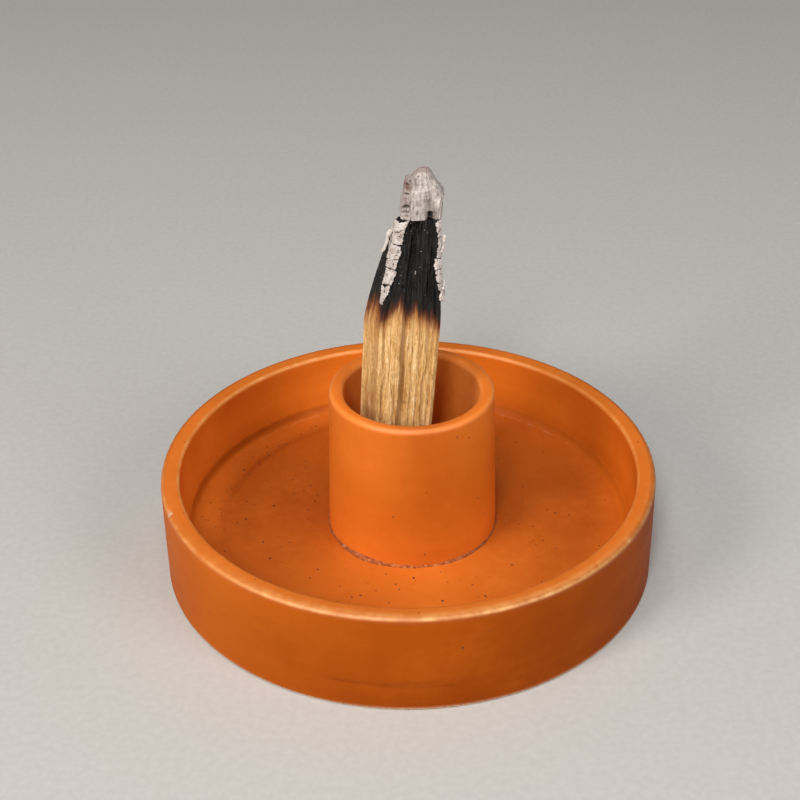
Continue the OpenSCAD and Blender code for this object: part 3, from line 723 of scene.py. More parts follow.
# On the floor and rim by x and y, on the wall and cup by bearing and height
blebs = {
    "floor": [(-28.2, 4.2), (-33.8, -0.4), (-32.6, 20.9), (-28.6, 26.9), (-20.8, 11.4), (-19.2, 7.9),
              (-19.7, 5.7), (-21.0, 2.6), (-29.7, -8.5), (-27.9, -13.9), (-18.2, -17.6), (-23.9, 31.4),
              (-30.5, 23.2), (-35.6, 17.6), (0.9, -20.6), (6.4, -27.8), (20.5, -16.7), (-11.2, -26.4),
              (-9.5, -25.9), (26.0, -22.2), (30.5, 0.7)],
    "rim": [(-46.3, 8.2), (-43.8, -17.2), (1.7, -48.1), (-28.3, -38.0), (33, 35.5), (47.5, 6.5)],
    "wall": [(-78.9, 14.2), (-73.5, 17.0), (-140, 9), (-20, 12), (64, 15), (118, 8), (170, 13)],
    "cup": [(-103, 19.7), (-32, 14.9), (-82.3, 10.8), (-80.6, 25.4), (-58.3, 36.6), (-48.3, 35.3),
            (-39.7, 20.0), (60, 24), (150, 18)],
    "floorR": 0.24, "rimR": 0.17, "strays": 170, "strayIn": 19.5, "strayOut": 43,
    "ringR": 38.5, "ringCount": 40, "seed": 5,
}
up = (0, 0, 1)


def floorAt(x, y):  # height of the floor, with its rise towards the wall
    out, soft = math.hypot(x, y) - ware["coveR"], ware["coveSoft"]
    lift = max(0, out) if abs(out) > soft else (out + soft) ** 2 / (4 * soft)
    return floorZ + ware["coveRise"] * min(1, lift / coveRun)


def onRound(degrees, r, z, centre=(0, 0)):  # spot on an upright round face, and the way it faces
    x, y = math.cos(math.radians(degrees)), math.sin(math.radians(degrees))
    return (centre[0] + r * x, centre[1] + r * y, z), (x, y, 0)


rng = np.random.default_rng(blebs["seed"])
floorR, far = blebs["floorR"], blebs["strayOut"]
lots = [((x, y, floorAt(x, y)), up, floorR * rng.uniform(0.85, 1.3)) for x, y in blebs["floor"]]
while len(lots) < len(blebs["floor"]) + blebs["strays"]:
    x, y = rng.uniform(-far, far, 2)
    if blebs["strayIn"] < math.hypot(x, y) < far:
        lots.append(((x, y, floorAt(x, y)), up, floorR * rng.uniform(0.38, 0.95)))
for k in range(blebs["ringCount"]):
    towards, r = rng.normal(148, 22), blebs["ringR"] + rng.normal(0, 0.7)
    lots.append((onRound(towards, r, floorAt(r, 0))[0], up, floorR * rng.uniform(0.25, 0.8)))
lots += [((x, y, trayH), up, blebs["rimR"]) for x, y in blebs["rim"]]
lots += [(*onRound(towards, trayR, z), rng.uniform(0.14, 0.24)) for towards, z in blebs["wall"]]
for towards, z in blebs["cup"]:
    r = cupFootR + (cupRimR - cupFootR) * (z - floorZ) / (cupTop - floorZ)
    lots.append((*onRound(towards, r, z, cupCentre), rng.uniform(0.13, 0.2)))
setGrains("ironBlebs", lots, ironBleb, "holder", 0.32, 0.05, 3)

# Crumbs of slip left along the cup's bead
crumbs = {"count": 40, "seed": 23}
rng = np.random.default_rng(crumbs["seed"])
lots = []
for k in range(crumbs["count"]):
    towards = math.degrees(rng.uniform(0, 2 * math.pi))
    lift = rng.uniform(0.05, 1.35)
    size = rng.uniform(0.06, 0.16)
    out, tall = math.cos(lift), math.sin(lift)
    r, z = cupFootR + 0.42 * ware["beadR"] * out, floorZ + 0.4 * ware["beadR"] * tall
    spot, side = onRound(towards, r, z, cupCentre)
    lots.append((spot, (side[0] * out, side[1] * out, tall), size))
setGrains("slipCrumbs", lots, slipCup, "holder", 0.7, 0.16, 11)
print("blebs and crumbs set")


# Stick: outline of the split section, the same rule from the foot to the top of the charcoal

stick = {
    "footZ": 7.9, "charZ": 58.4, "ashZ": 77.3, "burnZ": 56.0, "footLeft": -10.89, "wide": 13.7, "deep": 9.4,
    "grow": 1, "leanDeg": 3.2, "facetW": 3.1, "facetD": 2.6, "narrow": 0.7, "cut": 0.6, "midY": 0.1,
    "burnLeft": 5.3, "burnRight": 1.2, "burnFront": 1.0, "burnBack": 2.1, "burnRidge": 2.7, "leftPower": 1.3,
    "cols": [96, 5, 56, 5, 84, 5, 40, 30], "woodRows": 122, "charRows": 80, "seed": 41,
    "flute": 0.075, "fibre": 0.05, "short": 0.035, "base": 0.14, "tears": 70, "pit": (0.5, 38.2),
    # share of the front's width, depth, width and wander of each groove
    "grooves": [(0.435, 0.7, 0.52, 0.008), (0.845, 0.36, 0.3, 0.022), (0.10, 0.24, 0.26, 0.014),
                (0.205, 0.18, 0.24, 0.012), (0.61, 0.2, 0.3, 0.012), (0.94, 0.22, 0.3, 0.01),
                (0.32, 0.12, 0.2, 0.01), (0.73, 0.16, 0.22, 0.014)],
    # share of each side's width, and height of the char line there
    "charLine": [
        ([0, 0.05, 0.12, 0.2, 0.28, 0.36, 0.44, 0.5, 0.577, 0.66, 0.77, 0.876, 0.95, 1],
         [57.9, 58.3, 59.8, 60.7, 61.3, 60.7, 59.3, 59.8, 60.7, 59.3, 58.1, 58.5, 58.3, 57.1]),
        ([0, 1], [57.1, 57.2]), ([0, 0.3, 0.6, 1], [57.2, 58.2, 57.6, 58.6]), ([0, 1], [58.6, 58.8]),
        ([0, 0.2, 0.45, 0.7, 1], [58.8, 57.7, 59.6, 58.3, 59.2]), ([0, 1], [59.2, 59.4]),
        ([0, 0.4, 0.7, 1], [59.4, 58.8, 60.2, 60.9]),
        ([0, 0.35, 0.6, 0.85, 1], [60.9, 61.8, 61.4, 58.9, 57.9])],
}
footZ, charZ, ashZ = stick["footZ"], stick["charZ"], stick["ashZ"]
lean = math.tan(math.radians(stick["leanDeg"]))


def sectionCorners(z):  # eight corners, anticlockwise from the ridge at the front left
    burnt = np.maximum(0, z - stick["burnZ"]) / (ashZ - stick["burnZ"])
    shift = (z - footZ) * lean
    eaten = stick["burnLeft"] * burnt ** stick["leftPower"]
    grown = stick["grow"] * np.minimum(1, (z - footZ) / (charZ - footZ))
    left = stick["footLeft"] + shift + eaten
    right = stick["footLeft"] + stick["wide"] + grown + shift - stick["burnRight"] * burnt
    front = stick["midY"] - stick["deep"] / 2 + stick["burnFront"] * burnt
    back = stick["midY"] + stick["deep"] / 2 - stick["burnBack"] * burnt
    run = np.maximum(stick["facetW"] / 4, stick["facetW"] + stick["burnRidge"] * burnt - eaten)
    cut, narrow = stick["cut"], stick["narrow"]
    return np.stack([np.stack(corner, -1) for corner in (
        (left + run, front), (right - cut, front), (right, front + cut), (right - narrow, back - cut),
        (right - narrow - cut, back), (left + narrow + cut, back), (left + narrow, back - cut),
        (left, front + stick["facetD"]))], -2)


rowZ = np.concatenate([np.linspace(footZ, charZ, stick["woodRows"]),
                       np.linspace(charZ, ashZ, stick["charRows"])[1:]])
rows, cols = len(rowZ), sum(stick["cols"])
side = np.repeat(np.arange(8), stick["cols"])
share = np.concatenate([np.arange(n) / n for n in stick["cols"]])

# The char line climbs and drops round the stick, and the joint of wood and charcoal follows it
line = np.concatenate([np.interp(share[side == k], *points) for k, points in enumerate(stick["charLine"])])
near = ramp01(1 - np.abs(rowZ - charZ) / 14)[:, None]
rowHigh = rowZ[:, None] + (line[None, :] + 0.7 - charZ) * near ** 2 * (3 - 2 * near)
sunk = np.select([side == 4, side == 5, side == 6, side == 7],
                 [1.3 * share ** 4, 1.3, 1.3 - 0.4 * share, 0.9 * (1 - share) ** 2], 0)
rowHigh = rowHigh - sunk[None, :] * ramp01((rowZ[:, None] - 72.5) / 4.8) ** 2
corner = sectionCorners(rowHigh)
start = corner[:, np.arange(cols), side]
run = corner[:, np.arange(cols), (side + 1) % 8] - start
length = np.linalg.norm(run, axis=-1)
inward = np.stack([-run[..., 1], run[..., 0]], -1) / length[..., None]
edgeMm = np.minimum(share, 1 - share)[None, :] * length  # distance from the nearest corner of the section
crisp = np.where(np.isin(side, (1, 3, 5))[None, :], 0.25, ramp01(edgeMm / 0.55) ** 0.8)

# Wood: fluted by the split, with fibres, tears, grooves on the front and one pit
flutes = smoothNoise(rows, cols, 46, 4.5, stick["seed"])
fibres = smoothNoise(rows, cols, 15, 0.8, stick["seed"] + 1)
shorts = smoothNoise(rows, cols, 4, 1.0, stick["seed"] + 5)
dent = stick["base"] + stick["flute"] * flutes + stick["fibre"] * fibres + stick["short"] * shorts
rng = np.random.default_rng(stick["seed"] + 2)
rowAt, colAt = np.arange(rows)[:, None], np.arange(cols)[None, :]
for k in range(stick["tears"]):
    midRow, midCol = rng.uniform(0, stick["woodRows"]), rng.uniform(0, cols)
    halfRows, halfCols, deep = rng.uniform(9, 40), rng.uniform(2, 8), rng.uniform(0.05, 0.22)
    across = np.abs((colAt - midCol + cols / 2) % cols - cols / 2) / halfCols
    dent = dent + deep * np.sqrt(ramp01(1 - across ** 2)) * ramp01(1 - ((rowAt - midRow) / halfRows) ** 2)
onFront = (side == 0)[None, :]
for middle, deep, wide, wander in stick["grooves"]:
    wave = np.sin(rowZ[:, None] * 0.37 + middle * 40) + 0.6 * np.sin(rowZ[:, None] * 0.83 + middle * 90)
    gap = (share[None, :] - middle - wander * wave) * length
    dent = dent + np.where(onFront, deep * np.exp(-(gap / wide) ** 4), 0)
pitX, pitZ = stick["pit"]
gap = (share[None, :] - pitX) * length
dent = dent + np.where(onFront, 0.6 * dip(gap, 0, 0.22) * dip(rowZ[:, None], pitZ, 0.35), 0)

# Charcoal: the fire opens narrow cracks along the grain and short checks across it
charred = ramp01((rowZ - charZ) / 3)[:, None]
crackLine = smoothNoise(rows, cols, 12, 1.2, 77)
checkLine = smoothNoise(rows, cols, 1.0, 3.5, 78)
cracks = ramp01(crackLine - 1.35) * 0.55 + ramp01(checkLine - 1.7) * 0.25
dent = dent + charred * (cracks + 0.035 * smoothNoise(rows, cols, 1.3, 1.3, 79))
dent = np.clip(dent, 0, 1.6) * crisp + 0.02
burntOff = np.select([side == 5, side == 6, side == 4], [np.ones(cols), (1 - share) ** 2, share ** 6],
                     0)[None, :]
dent = dent + ramp01((rowHigh - 73.5) / 3) ** 2 * burntOff
flat = start + run * share[None, :, None] + inward * dent[..., None]
stickPoints = np.concatenate([flat, rowHigh[..., None]], -1)

# Height above the char line, with the fringe of single fibres
jag = 0.4 * smoothNoise(rows, cols, 24, 1.3, 91) + 0.3 * smoothNoise(rows, cols, 5, 0.9, 92)
burn = rowHigh - line[None, :] + jag
facetSide = np.select([side == 7, side == 6], [1 - share ** 6, share ** 3], 0)[None, :]
burn = np.where(burn < 0, burn * (1 - 0.45 * facetSide), burn)
# painted shade: darker where the surface sinks, and over the left facet
hollowness = ramp01((dent - stick["base"]) / 0.6 + 0.22 * facetSide)


def barMesh(name, first, last):  # closed bar through rows first..last of the stick
    grid = stickPoints[first:last + 1]
    points = np.concatenate([grid.reshape(-1, 3), grid[0].mean(0)[None], grid[-1].mean(0)[None]])
    mesh = meshFrom(name, points, tubeFaces(len(grid), cols))
    for label, field in (("burn", burn), ("hollowness", hollowness)):
        values = field[first:last + 1].reshape(-1)
        setFloats(mesh, label, np.concatenate([values, [field[first].mean(), field[last].mean()]]))
    mesh.shade_smooth()
    ends = np.zeros(len(mesh.edges) * 2, np.int32)
    mesh.edges.foreach_get("vertices", ends)
    ends = ends.reshape(-1, 2)
    hub = len(grid) * cols
    hard = (ends < cols).all(1) | ((ends >= hub - cols) & (ends < hub)).all(1)
    mesh.edges.foreach_set("use_edge_sharp", hard)
    return mesh


wood = {
    "stops": [(0.48, "#9c6c36"), (0.62, "#c99958"), (0.74, "#e1b779"), (0.90, "#f3daa9")],
    # brown for the pores and for painted shade
    "hollow": "#946431",
    "scorch": [(0.0, "#dcae70"), (0.3, "#b57c42"), (0.5, "#874d23"), (0.68, "#4b2716"), (0.86, "#15100d")],
    "char": [(0.3, "#070606"), (0.52, "#11100f"), (0.70, "#2b2825")],
    "fibreMm": 0.3, "streakMm": 1.5, "poreMm": 0.38, "fleckMm": 0.24,
}


# Split palo santo, scorched: honey tan fibres with darker pores and brown painted shade in grooves, tears and
# on the left facet, then a brown singe, then black charcoal with a dull sheen on its ridges
def splitWoodMaterial(name):
    material, tree, spot = newMaterial(name)
    hollow, burn = [
        addNode(tree, "ShaderNodeAttribute", {"attribute_name": label}).outputs["Fac"]
        for label in ("hollowness", "burn")]
    turned = (0, -math.radians(stick["leanDeg"]), 0)
    upright, dashes, short = [
        addNode(tree, "ShaderNodeMapping", ins={"Vector": spot, "Rotation": turned, "Scale": (1, 1, along)})
        for along in (0.11, 0.13, 0.3)]
    fibre = addNode(tree, "ShaderNodeTexNoise",
                    ins={"Vector": upright, "Scale": perMm(wood["fibreMm"]), "Detail": 6, "Distortion": 0.5})
    streak = addNode(tree, "ShaderNodeTexNoise",
                     ins={"Vector": upright, "Scale": perMm(wood["streakMm"]), "Detail": 3})
    fleck = addNode(tree, "ShaderNodeTexNoise",
                    ins={"Vector": short, "Scale": perMm(wood["fleckMm"]), "Detail": 3})
    long = addNode(tree, "ShaderNodeMix", {"data_type": "FLOAT"}, {0: 0.42, 2: fibre, 3: streak})
    tone = addNode(tree, "ShaderNodeMath", {"operation": "MULTIPLY_ADD"}, {0: fleck, 1: 0.4, 2: long})
    plank = addNode(tree, "ShaderNodeValToRGB", {"stops": wood["stops"]}, {0: tone})
    pore = addNode(tree, "ShaderNodeTexVoronoi", ins={"Vector": dashes, "Scale": perMm(wood["poreMm"])})
    girth = addNode(tree, "ShaderNodeMath", {"operation": "POWER"}, {0: pore.outputs["Color"], 1: 1.6})
    wide = addNode(tree, "ShaderNodeMath", {"operation": "MULTIPLY_ADD"}, {0: girth, 1: 0.5, 2: 0.01})
    dark = addNode(tree, "ShaderNodeMapRange",
                   ins={"Value": pore, "From Max": wide, "To Min": 0.8, "To Max": 0.0})
    shade = addNode(tree, "ShaderNodeMath", {"operation": "MULTIPLY", "use_clamp": True}, {0: hollow, 1: 0.7})
    ragged = addNode(tree, "ShaderNodeMath", {"operation": "MULTIPLY_ADD"}, {0: fibre, 1: 3.0, 2: -1.5})
    heat = addNode(tree, "ShaderNodeMath", {"operation": "ADD"}, {0: burn, 1: ragged})
    done = addNode(tree, "ShaderNodeMapRange", ins={"Value": heat, "From Min": -6.4, "From Max": 2.2})
    scorch = addNode(tree, "ShaderNodeValToRGB", {"stops": wood["scorch"]}, {0: done})
    reach = addNode(tree, "ShaderNodeMapRange", ins={"Value": done, "From Min": 0.15, "From Max": 0.6})
    coal = addNode(tree, "ShaderNodeValToRGB", {"stops": wood["char"]}, {0: fibre})
    black = addNode(tree, "ShaderNodeMapRange", ins={"Value": done, "From Min": 0.72, "From Max": 0.95})
    brown = hexColour(wood["hollow"])
    colour = plank
    for share, over in ((dark, brown), (shade, brown), (reach, scorch), (black, coal)):
        colour = addNode(tree, "ShaderNodeMix", {"data_type": "RGBA"}, {0: share, 6: colour, 7: over})
    rough = addNode(tree, "ShaderNodeMapRange",
                    ins={"Value": done, "From Min": 0.5, "From Max": 0.9, "To Min": 0.72, "To Max": 0.5})
    height = addNode(tree, "ShaderNodeMath", {"operation": "SUBTRACT"}, {0: tone, 1: dark})
    bump = addNode(tree, "ShaderNodeBump", ins={"Strength": 0.9, "Distance": 0.2 * mm, "Height": height})
    endMaterial(tree, {"Base Color": colour, "Roughness": rough, "Normal": bump, "Specular IOR Level": 0.35})
    return material


splitWood = splitWoodMaterial("split_palo_santo")
charcoal = splitWoodMaterial("palo_santo_charcoal")
woodTop = stick["woodRows"] - 1
woodMesh = barMesh("paloSantoStick", 0, woodTop)
charMesh = barMesh("charZone", woodTop, rows - 1)
place("paloSantoStick", woodMesh, "stick", splitWood, ("palo_santo_stick",), smooth=False)
place("charZone", charMesh, "stick", charcoal, ("char_zone",), smooth=False)
print("stick split and charred")


# Ash: materials

ashTones = {
    "tip": {"stops": [(0.31, "#6a625c"), (0.43, "#988e88"), (0.54, "#b4aaa3"), (0.68, "#d0c8c1")],
            "stretch": (1, 1, 0.2), "fineMm": 0.42},
    "crust": {"stops": [(0.32, "#8f867f"), (0.43, "#b8aea7"), (0.56, "#cec5be"), (0.72, "#dcd4cd")],
              "stretch": (1, 1, 0.5), "fineMm": 0.3},
    # colour of the painted shade in cracks and hollows
    "hollow": "#2a1e18", "singe": "#7d5c50", "veilMm": 2.2, "dustMm": 0.16,
}


# Wood ash that kept the shape of the grain: chalk white with grey veils, painted shade in its cracks and
# hollows, quite matt
def ashMaterial(name, tones):
    material, tree, spot = newMaterial(name)
    singe, hollow = [
        addNode(tree, "ShaderNodeAttribute", {"attribute_name": label}).outputs["Fac"]
        for label in ("singe", "hollowness")]
    drawn = addNode(tree, "ShaderNodeMapping", ins={"Vector": spot, "Scale": tones["stretch"]})
    fine = addNode(tree, "ShaderNodeTexNoise",
                   ins={"Vector": drawn, "Scale": perMm(tones["fineMm"]), "Detail": 5})
    veil, dust = [
        addNode(tree, "ShaderNodeTexNoise", ins={"Vector": spot, "Scale": perMm(ashTones[size]), "Detail": 2})
        for size in ("veilMm", "dustMm")]
    tone = addNode(tree, "ShaderNodeMix", {"data_type": "FLOAT"}, {0: 0.4, 2: fine, 3: veil})
    colour = addNode(tree, "ShaderNodeValToRGB", {"stops": tones["stops"]}, {0: tone})
    for share, over in ((singe, ashTones["singe"]), (hollow, ashTones["hollow"])):
        colour = addNode(tree, "ShaderNodeMix", {"data_type": "RGBA"},
                         {0: share, 6: colour, 7: hexColour(over)})
    height = addNode(tree, "ShaderNodeMath", {"operation": "MULTIPLY_ADD"}, {0: dust, 1: 0.5, 2: fine})
    bump = addNode(tree, "ShaderNodeBump", ins={"Strength": 0.6, "Distance": 0.12 * mm, "Height": height})
    matt = addNode(tree, "ShaderNodeMapRange", ins={"Value": dust, "To Min": 0.86, "To Max": 0.98})
    endMaterial(tree, {"Base Color": colour, "Normal": bump, "Roughness": matt, "Specular IOR Level": 0.25})
    return material


ashWhite = ashMaterial("standing_wood_ash", ashTones["tip"])
ashCrust = ashMaterial("peeling_ash_crust", ashTones["crust"])


# Standing ash: outline, front relief and cracks read off the burnt end

tip = {
    # heights, and where that face stands at each
    "left": ([76.7, 78.6, 80.0, 83.2, 84.5, 84.75, 85.4, 86.1, 86.35, 86.5],
             [-1.2, -1.05, -0.85, -0.25, -0.05, 0.9, 1.5, 2.3, 2.65, 3.0]),
    "right": ([76.7, 78.3, 80.7, 81.7, 82.4, 83.3, 84.7, 85.6, 86.1, 86.35, 86.5],
              [6.55, 6.74, 6.95, 7.2, 6.85, 6.1, 5.2, 4.85, 4.5, 4.2, 3.8]),
    "front": ([76.7, 78, 81, 84, 85.6, 86.2, 86.5], [-3.5, -3.4, -3.0, -2.3, -1.7, -1.2, -0.5]),
    "back": ([76.7, 78, 81, 84, 85.6, 86.2, 86.5], [2.55, 2.5, 2.2, 1.6, 1.1, 0.8, 0.3]),
    "rows": 84, "cols": 260, "square": 4.8, "footZ": 77.3, "lip": 0.02, "topZ": 86.5,
    # height, depth and width of each crack
    "cracks": [(83.85, 0.55, 0.14), (82.1, 0.6, 0.15), (81.2, 0.25, 0.1), (79.6, 1.0, 0.24),
               (78.7, 0.4, 0.12), (77.9, 0.3, 0.1)],
}
tipRows, tipCols = tip["rows"], tip["cols"]
climb = (1 - (1 - np.linspace(0, 1, tipRows)) ** 1.35)[:, None]
around = np.linspace(0, 2 * math.pi, tipCols, endpoint=False)
sine = np.sin(around)
cornerX, cornerY = [np.sign(part) * np.abs(part) ** (2 / tip["square"]) for part in (np.cos(around), sine)]
frontFace = ramp01(-sine * 1.6)[None, :]
lip = ramp01(-sine) ** 0.5 * ramp01(1 - ((cornerX * 3.9 + 0.35) / 1.75) ** 4)
level = tip["footZ"] + (tip["topZ"] - tip["footZ"]) * climb + tip["lip"] * lip[None, :] * (1 - climb) ** 6
left, right, front, back = [np.interp(level, *tip[face]) for face in ("left", "right", "front", "back")]
tipX = (left + right) / 2 + (right - left) / 2 * cornerX[None, :]
tipY = (front + back) / 2 + (back - front) / 2 * cornerY[None, :]
grainX = smoothNoise(tipRows, tipCols, 14, 1.6, 61)
lumpX = smoothNoise(tipRows, tipCols, 5, 5, 62)
fineX = smoothNoise(tipRows, tipCols, 1.2, 1.2, 63)
inset = (0.06 * grainX + 0.10 * lumpX + 0.05 * fineX) * np.clip((86.6 - level) / 2.2, 0.12, 1)

# A cracked column on the left, a hollow right of the middle and a recess at its foot
column = ramp01((0.72 - tipX) / 0.25) * ramp01((84.7 - level) / 0.2) * frontFace
dark = np.zeros_like(inset)
for height, deep, wide in tip["cracks"]:
    arch = height + 0.28 * np.sin((tipX + 0.6) * 1.9) * (1 if deep > 0.6 else 0.4)
    slit = dip(level, arch, wide) * column
    inset = inset + deep * slit
    dark = np.maximum(dark, slit * min(1, deep * 1.5))
seam = dip(tipX, 0.8, 0.16) * frontFace * ramp01((84.9 - level) / 0.4)
trough = dip(tipX, 4.6 + 0.10 * (80 - level), 0.8) * frontFace * ramp01((83.0 - level) / 2.2)
recess = dip(tipX, 4.75, 0.75) * frontFace * ramp01((78.9 - level) / 0.5)
holes = ramp01(fineX - 1.0) * ramp01((level - 84.7) / 0.5)
inset = inset + 0.3 * seam + 0.75 * trough + 1.5 * recess + 0.3 * column + 0.35 * holes
# the cracks, seam, trough, recess, column and holes darkened as painted shade
for shade in (0.35 * seam + 0.95 * recess, 0.4 * trough, 0.16 * column * dip(level, 81.0, 1.2), holes):
    dark = np.maximum(dark, shade)
singed = np.clip(dip(tipX, 0.25, 0.8) * dip(level, 83.6, 1.0) * (0.75 + 0.4 * lumpX), 0, 0.9)
singed = np.maximum(singed, 0.3 * column * np.clip((level - 78.5) / 4, 0.2, 1))
singed = np.maximum(singed, 0.12 * trough + 0.35 * ramp01((level - 85.5) / 0.8))
tipX = tipX - inset * 0.35 * cornerX[None, :]
tipY = tipY - inset * sine[None, :] * 0.9
grid = np.stack([tipX, tipY, level], -1)
hubs = np.stack([grid[0].mean(0) + (0, 0, 0.1), grid[-1].mean(0) + (0, 0, 0.05)])
tipMesh = meshFrom("ashTip", np.concatenate([grid.reshape(-1, 3), hubs]), tubeFaces(tipRows, tipCols))
setFloats(tipMesh, "hollowness", np.concatenate([ramp01(dark).reshape(-1), [0.5, 0.3]]))
setFloats(tipMesh, "singe", np.concatenate([ramp01(singed).reshape(-1), [0.4, 0.3]]))
turnOutwards(tipMesh)
place("ashTip", tipMesh, "stick", ashWhite, ("ash_tip",))


# Ash crust: slabs that follow the charcoal's ridges, cracked across and ragged at the edges

# Spot and outward way on the left ridge: across is negative on the facet, positive on the front
def overRidge(z, across):
    corner = sectionCorners(z)
    ridge, low, behind = corner[..., 0, :], corner[..., 7, :], corner[..., 6, :]
    facetLong = np.linalg.norm(low - ridge, axis=-1)
    facetDir = (low - ridge) / facetLong[..., None]
    sideDir = (behind - low) / np.linalg.norm(behind - low, axis=-1)[..., None]
    onFacet = np.clip(-across, 0, facetLong)
    onSide = np.maximum(-across - facetLong, 0)
    spot = ridge + facetDir * onFacet[..., None] + sideDir * onSide[..., None]
    spot[..., 0] += np.maximum(across, 0)
    turned = ramp01((-across + 0.45) / 0.9)[..., None]
    sideways = ramp01((onSide + 0.2) / 0.5)[..., None]
    facetOut = np.stack([-facetDir[..., 1], facetDir[..., 0]], -1)
    facetOut = np.where(facetOut[..., :1] < 0, facetOut, -facetOut)
    leftOut = (1 - sideways) * facetOut + sideways * np.array((-1.0, 0.0))
    out = (1 - turned) * np.array((0.0, -1.0)) + turned * leftOut
    return spot, out / np.linalg.norm(out, axis=-1)[..., None]


def overCorner(z, across):  # the same on the right corner: negative on the front, positive on the right side
    corner = sectionCorners(z)
    first, second = corner[..., 1, :], corner[..., 2, :]
    bevelLong = np.linalg.norm(second - first, axis=-1)
    bevel = (second - first) / bevelLong[..., None]
    spot = first + bevel * np.clip(across + bevelLong / 2, 0, bevelLong)[..., None]
    spot[..., 0] -= np.maximum(-across - bevelLong / 2, 0)
    spot[..., 1] += np.maximum(across - bevelLong / 2, 0)
    angle = np.clip(across / (bevelLong + 0.5), -1, 1) * math.pi / 4 - math.pi / 4
    return spot, np.stack([np.cos(angle), np.sin(angle)], -1)


def crustMesh(name, blocks, surface, seed):  # one mesh of cracked slabs
    points, faces, dark, singe = [], [], [], []
    base = 0
    for number, block in enumerate(blocks):
        low, high = block["z"]
        size = max(16, int((high - low) / 0.06)), 48
        v = np.linspace(0, 1, size[0])[:, None]
        u = np.linspace(0, 1, size[1])[None, :]
        ragged, ribs, fine, torn = [
            smoothNoise(*size, *cells, seed + number * 7 + k)
            for k, cells in enumerate(((5, 5), (1.3, 12), (0.9, 0.9), (1.6, 1.6)))]
        start, end = [
            block["low"][k] + (block["high"][k] - block["low"][k]) * v
            + 0.10 * ragged[:, edge] + 0.07 * torn[:, edge]
            for k, edge in enumerate((slice(0, 1), slice(-1, None)))]
        across = start + (end - start) * u
        lowTilt, highTilt = block.get("tilt", (0, 0))
        bottom = low + lowTilt * (u - 0.5) + 0.10 * ragged[:1] + 0.05 * torn[:1]
        top = high + highTilt * (u - 0.5) + 0.10 * ragged[-1:] + 0.05 * torn[-1:]
        top = top - block.get("notch", 0) * dip(u, 0.45, 0.18)
        z = bottom + (top - bottom) * v
        spot, out = surface(z, across)
        rounded = np.sqrt(ramp01(1 - (2 * u - 1) ** 22)) * np.sqrt(ramp01(1 - (2 * v - 1) ** 40))
        pits = ramp01(torn - 1.25) * rounded
        lift = block.get("lift", 0) * (0.3 + 0.7 * u)
        rough = 1 + 0.06 * ragged + 0.03 * ribs + 0.03 * fine - 0.5 * pits
        thick = block["thick"] * (0.5 + 0.5 * rounded) * rough + lift
        for height in (0.08 + thick, 0.04 + lift):
            points.append(np.concatenate([spot + out * height[..., None], z[..., None]], -1).reshape(-1, 3))
        total = z.size
        # painted shade in the cracks across and the pits, and on each slab's underside
        shade = np.clip(ramp01(-ribs - 1.6) * 0.4 * (rounded > 0.3) + 0.8 * pits, 0, 0.8)
        dark += [shade.reshape(-1), np.full(total, 0.6)]
        singe += [np.clip(0.18 * ragged, 0, 0.4).reshape(-1), np.full(total, 0.5)]
        index = base + np.arange(total).reshape(size)
        here, beside, above, far = index[:-1, :-1], index[:-1, 1:], index[1:, :-1], index[1:, 1:]
        rim = np.concatenate([index[0], index[1:, -1], index[-1, -2::-1], index[-2:0:-1, 0]])
        after = np.roll(rim, -1)
        for quad in ((here, beside, far, above), (here + total, above + total, far + total, beside + total),
                     (after, rim, rim + total, after + total)):
            faces += np.stack(quad, -1).reshape(-1, 4).tolist()
        base += 2 * total
    mesh = meshFrom(name, np.concatenate(points), faces)
    setFloats(mesh, "hollowness", np.concatenate(dark))
    setFloats(mesh, "singe", np.concatenate(singe))
    turnOutwards(mesh)
    return mesh


# z is a slab's height, low and high are how far it reaches across at its foot and at its top
leftCrust = [
    {"z": (73.15, 77.15), "low": (-1.75, 1.3), "high": (-2.1, 1.3), "thick": 0.46, "tilt": (-0.7, 0.8)},
    {"z": (69.9, 72.85), "low": (-1.05, 1.35), "high": (-1.4, 1.35), "thick": 0.4, "tilt": (0.3, -0.7)},
    {"z": (67.98, 69.62), "low": (-0.9, 1.0), "high": (-1.0, 1.2), "thick": 0.38, "tilt": (-0.4, 0.3)},
    {"z": (64.6, 67.68), "low": (-0.9, 0.8), "high": (-0.85, 1.15), "thick": 0.4, "tilt": (0.2, -0.4)},
    {"z": (60.5, 64.4), "low": (-0.5, -0.15), "high": (-0.95, 0.75), "thick": 0.36, "notch": 0.7,
     "tilt": (0, 0.2)},
]
rightCrust = [
    {"z": (75.4, 77.3), "low": (-0.5, 0.3), "high": (-0.8, 0.35), "thick": 0.24},
    {"z": (74.1, 75.25), "low": (-0.4, 0.25), "high": (-0.5, 0.3), "thick": 0.2, "tilt": (0.2, 0.3)},
    {"z": (71.6, 73.9), "low": (-0.6, 0.25), "high": (-0.35, 0.25), "thick": 0.22, "tilt": (0.2, 0)},
    {"z": (69.95, 71.45), "low": (-0.75, 0.3), "high": (-0.65, 0.3), "thick": 0.26},
    {"z": (67.75, 69.8), "low": (-1.0, 0.35), "high": (-0.9, 0.3), "thick": 0.32, "tilt": (0.2, -0.2)},
    {"z": (64.6, 67.5), "low": (-0.75, 0.4), "high": (-1.0, 0.4), "thick": 0.32, "tilt": (-0.4, 0.2)},
    {"z": (63.1, 64.5), "low": (-0.1, 0.6), "high": (-0.55, 0.5), "thick": 0.3, "tilt": (-0.5, -0.4),
     "lift": 0.12},
    {"z": (61.0, 62.95), "low": (-0.2, 0.75), "high": (0.0, 0.6), "thick": 0.42, "tilt": (-0.3, -0.3),
     "lift": 0.4},
]
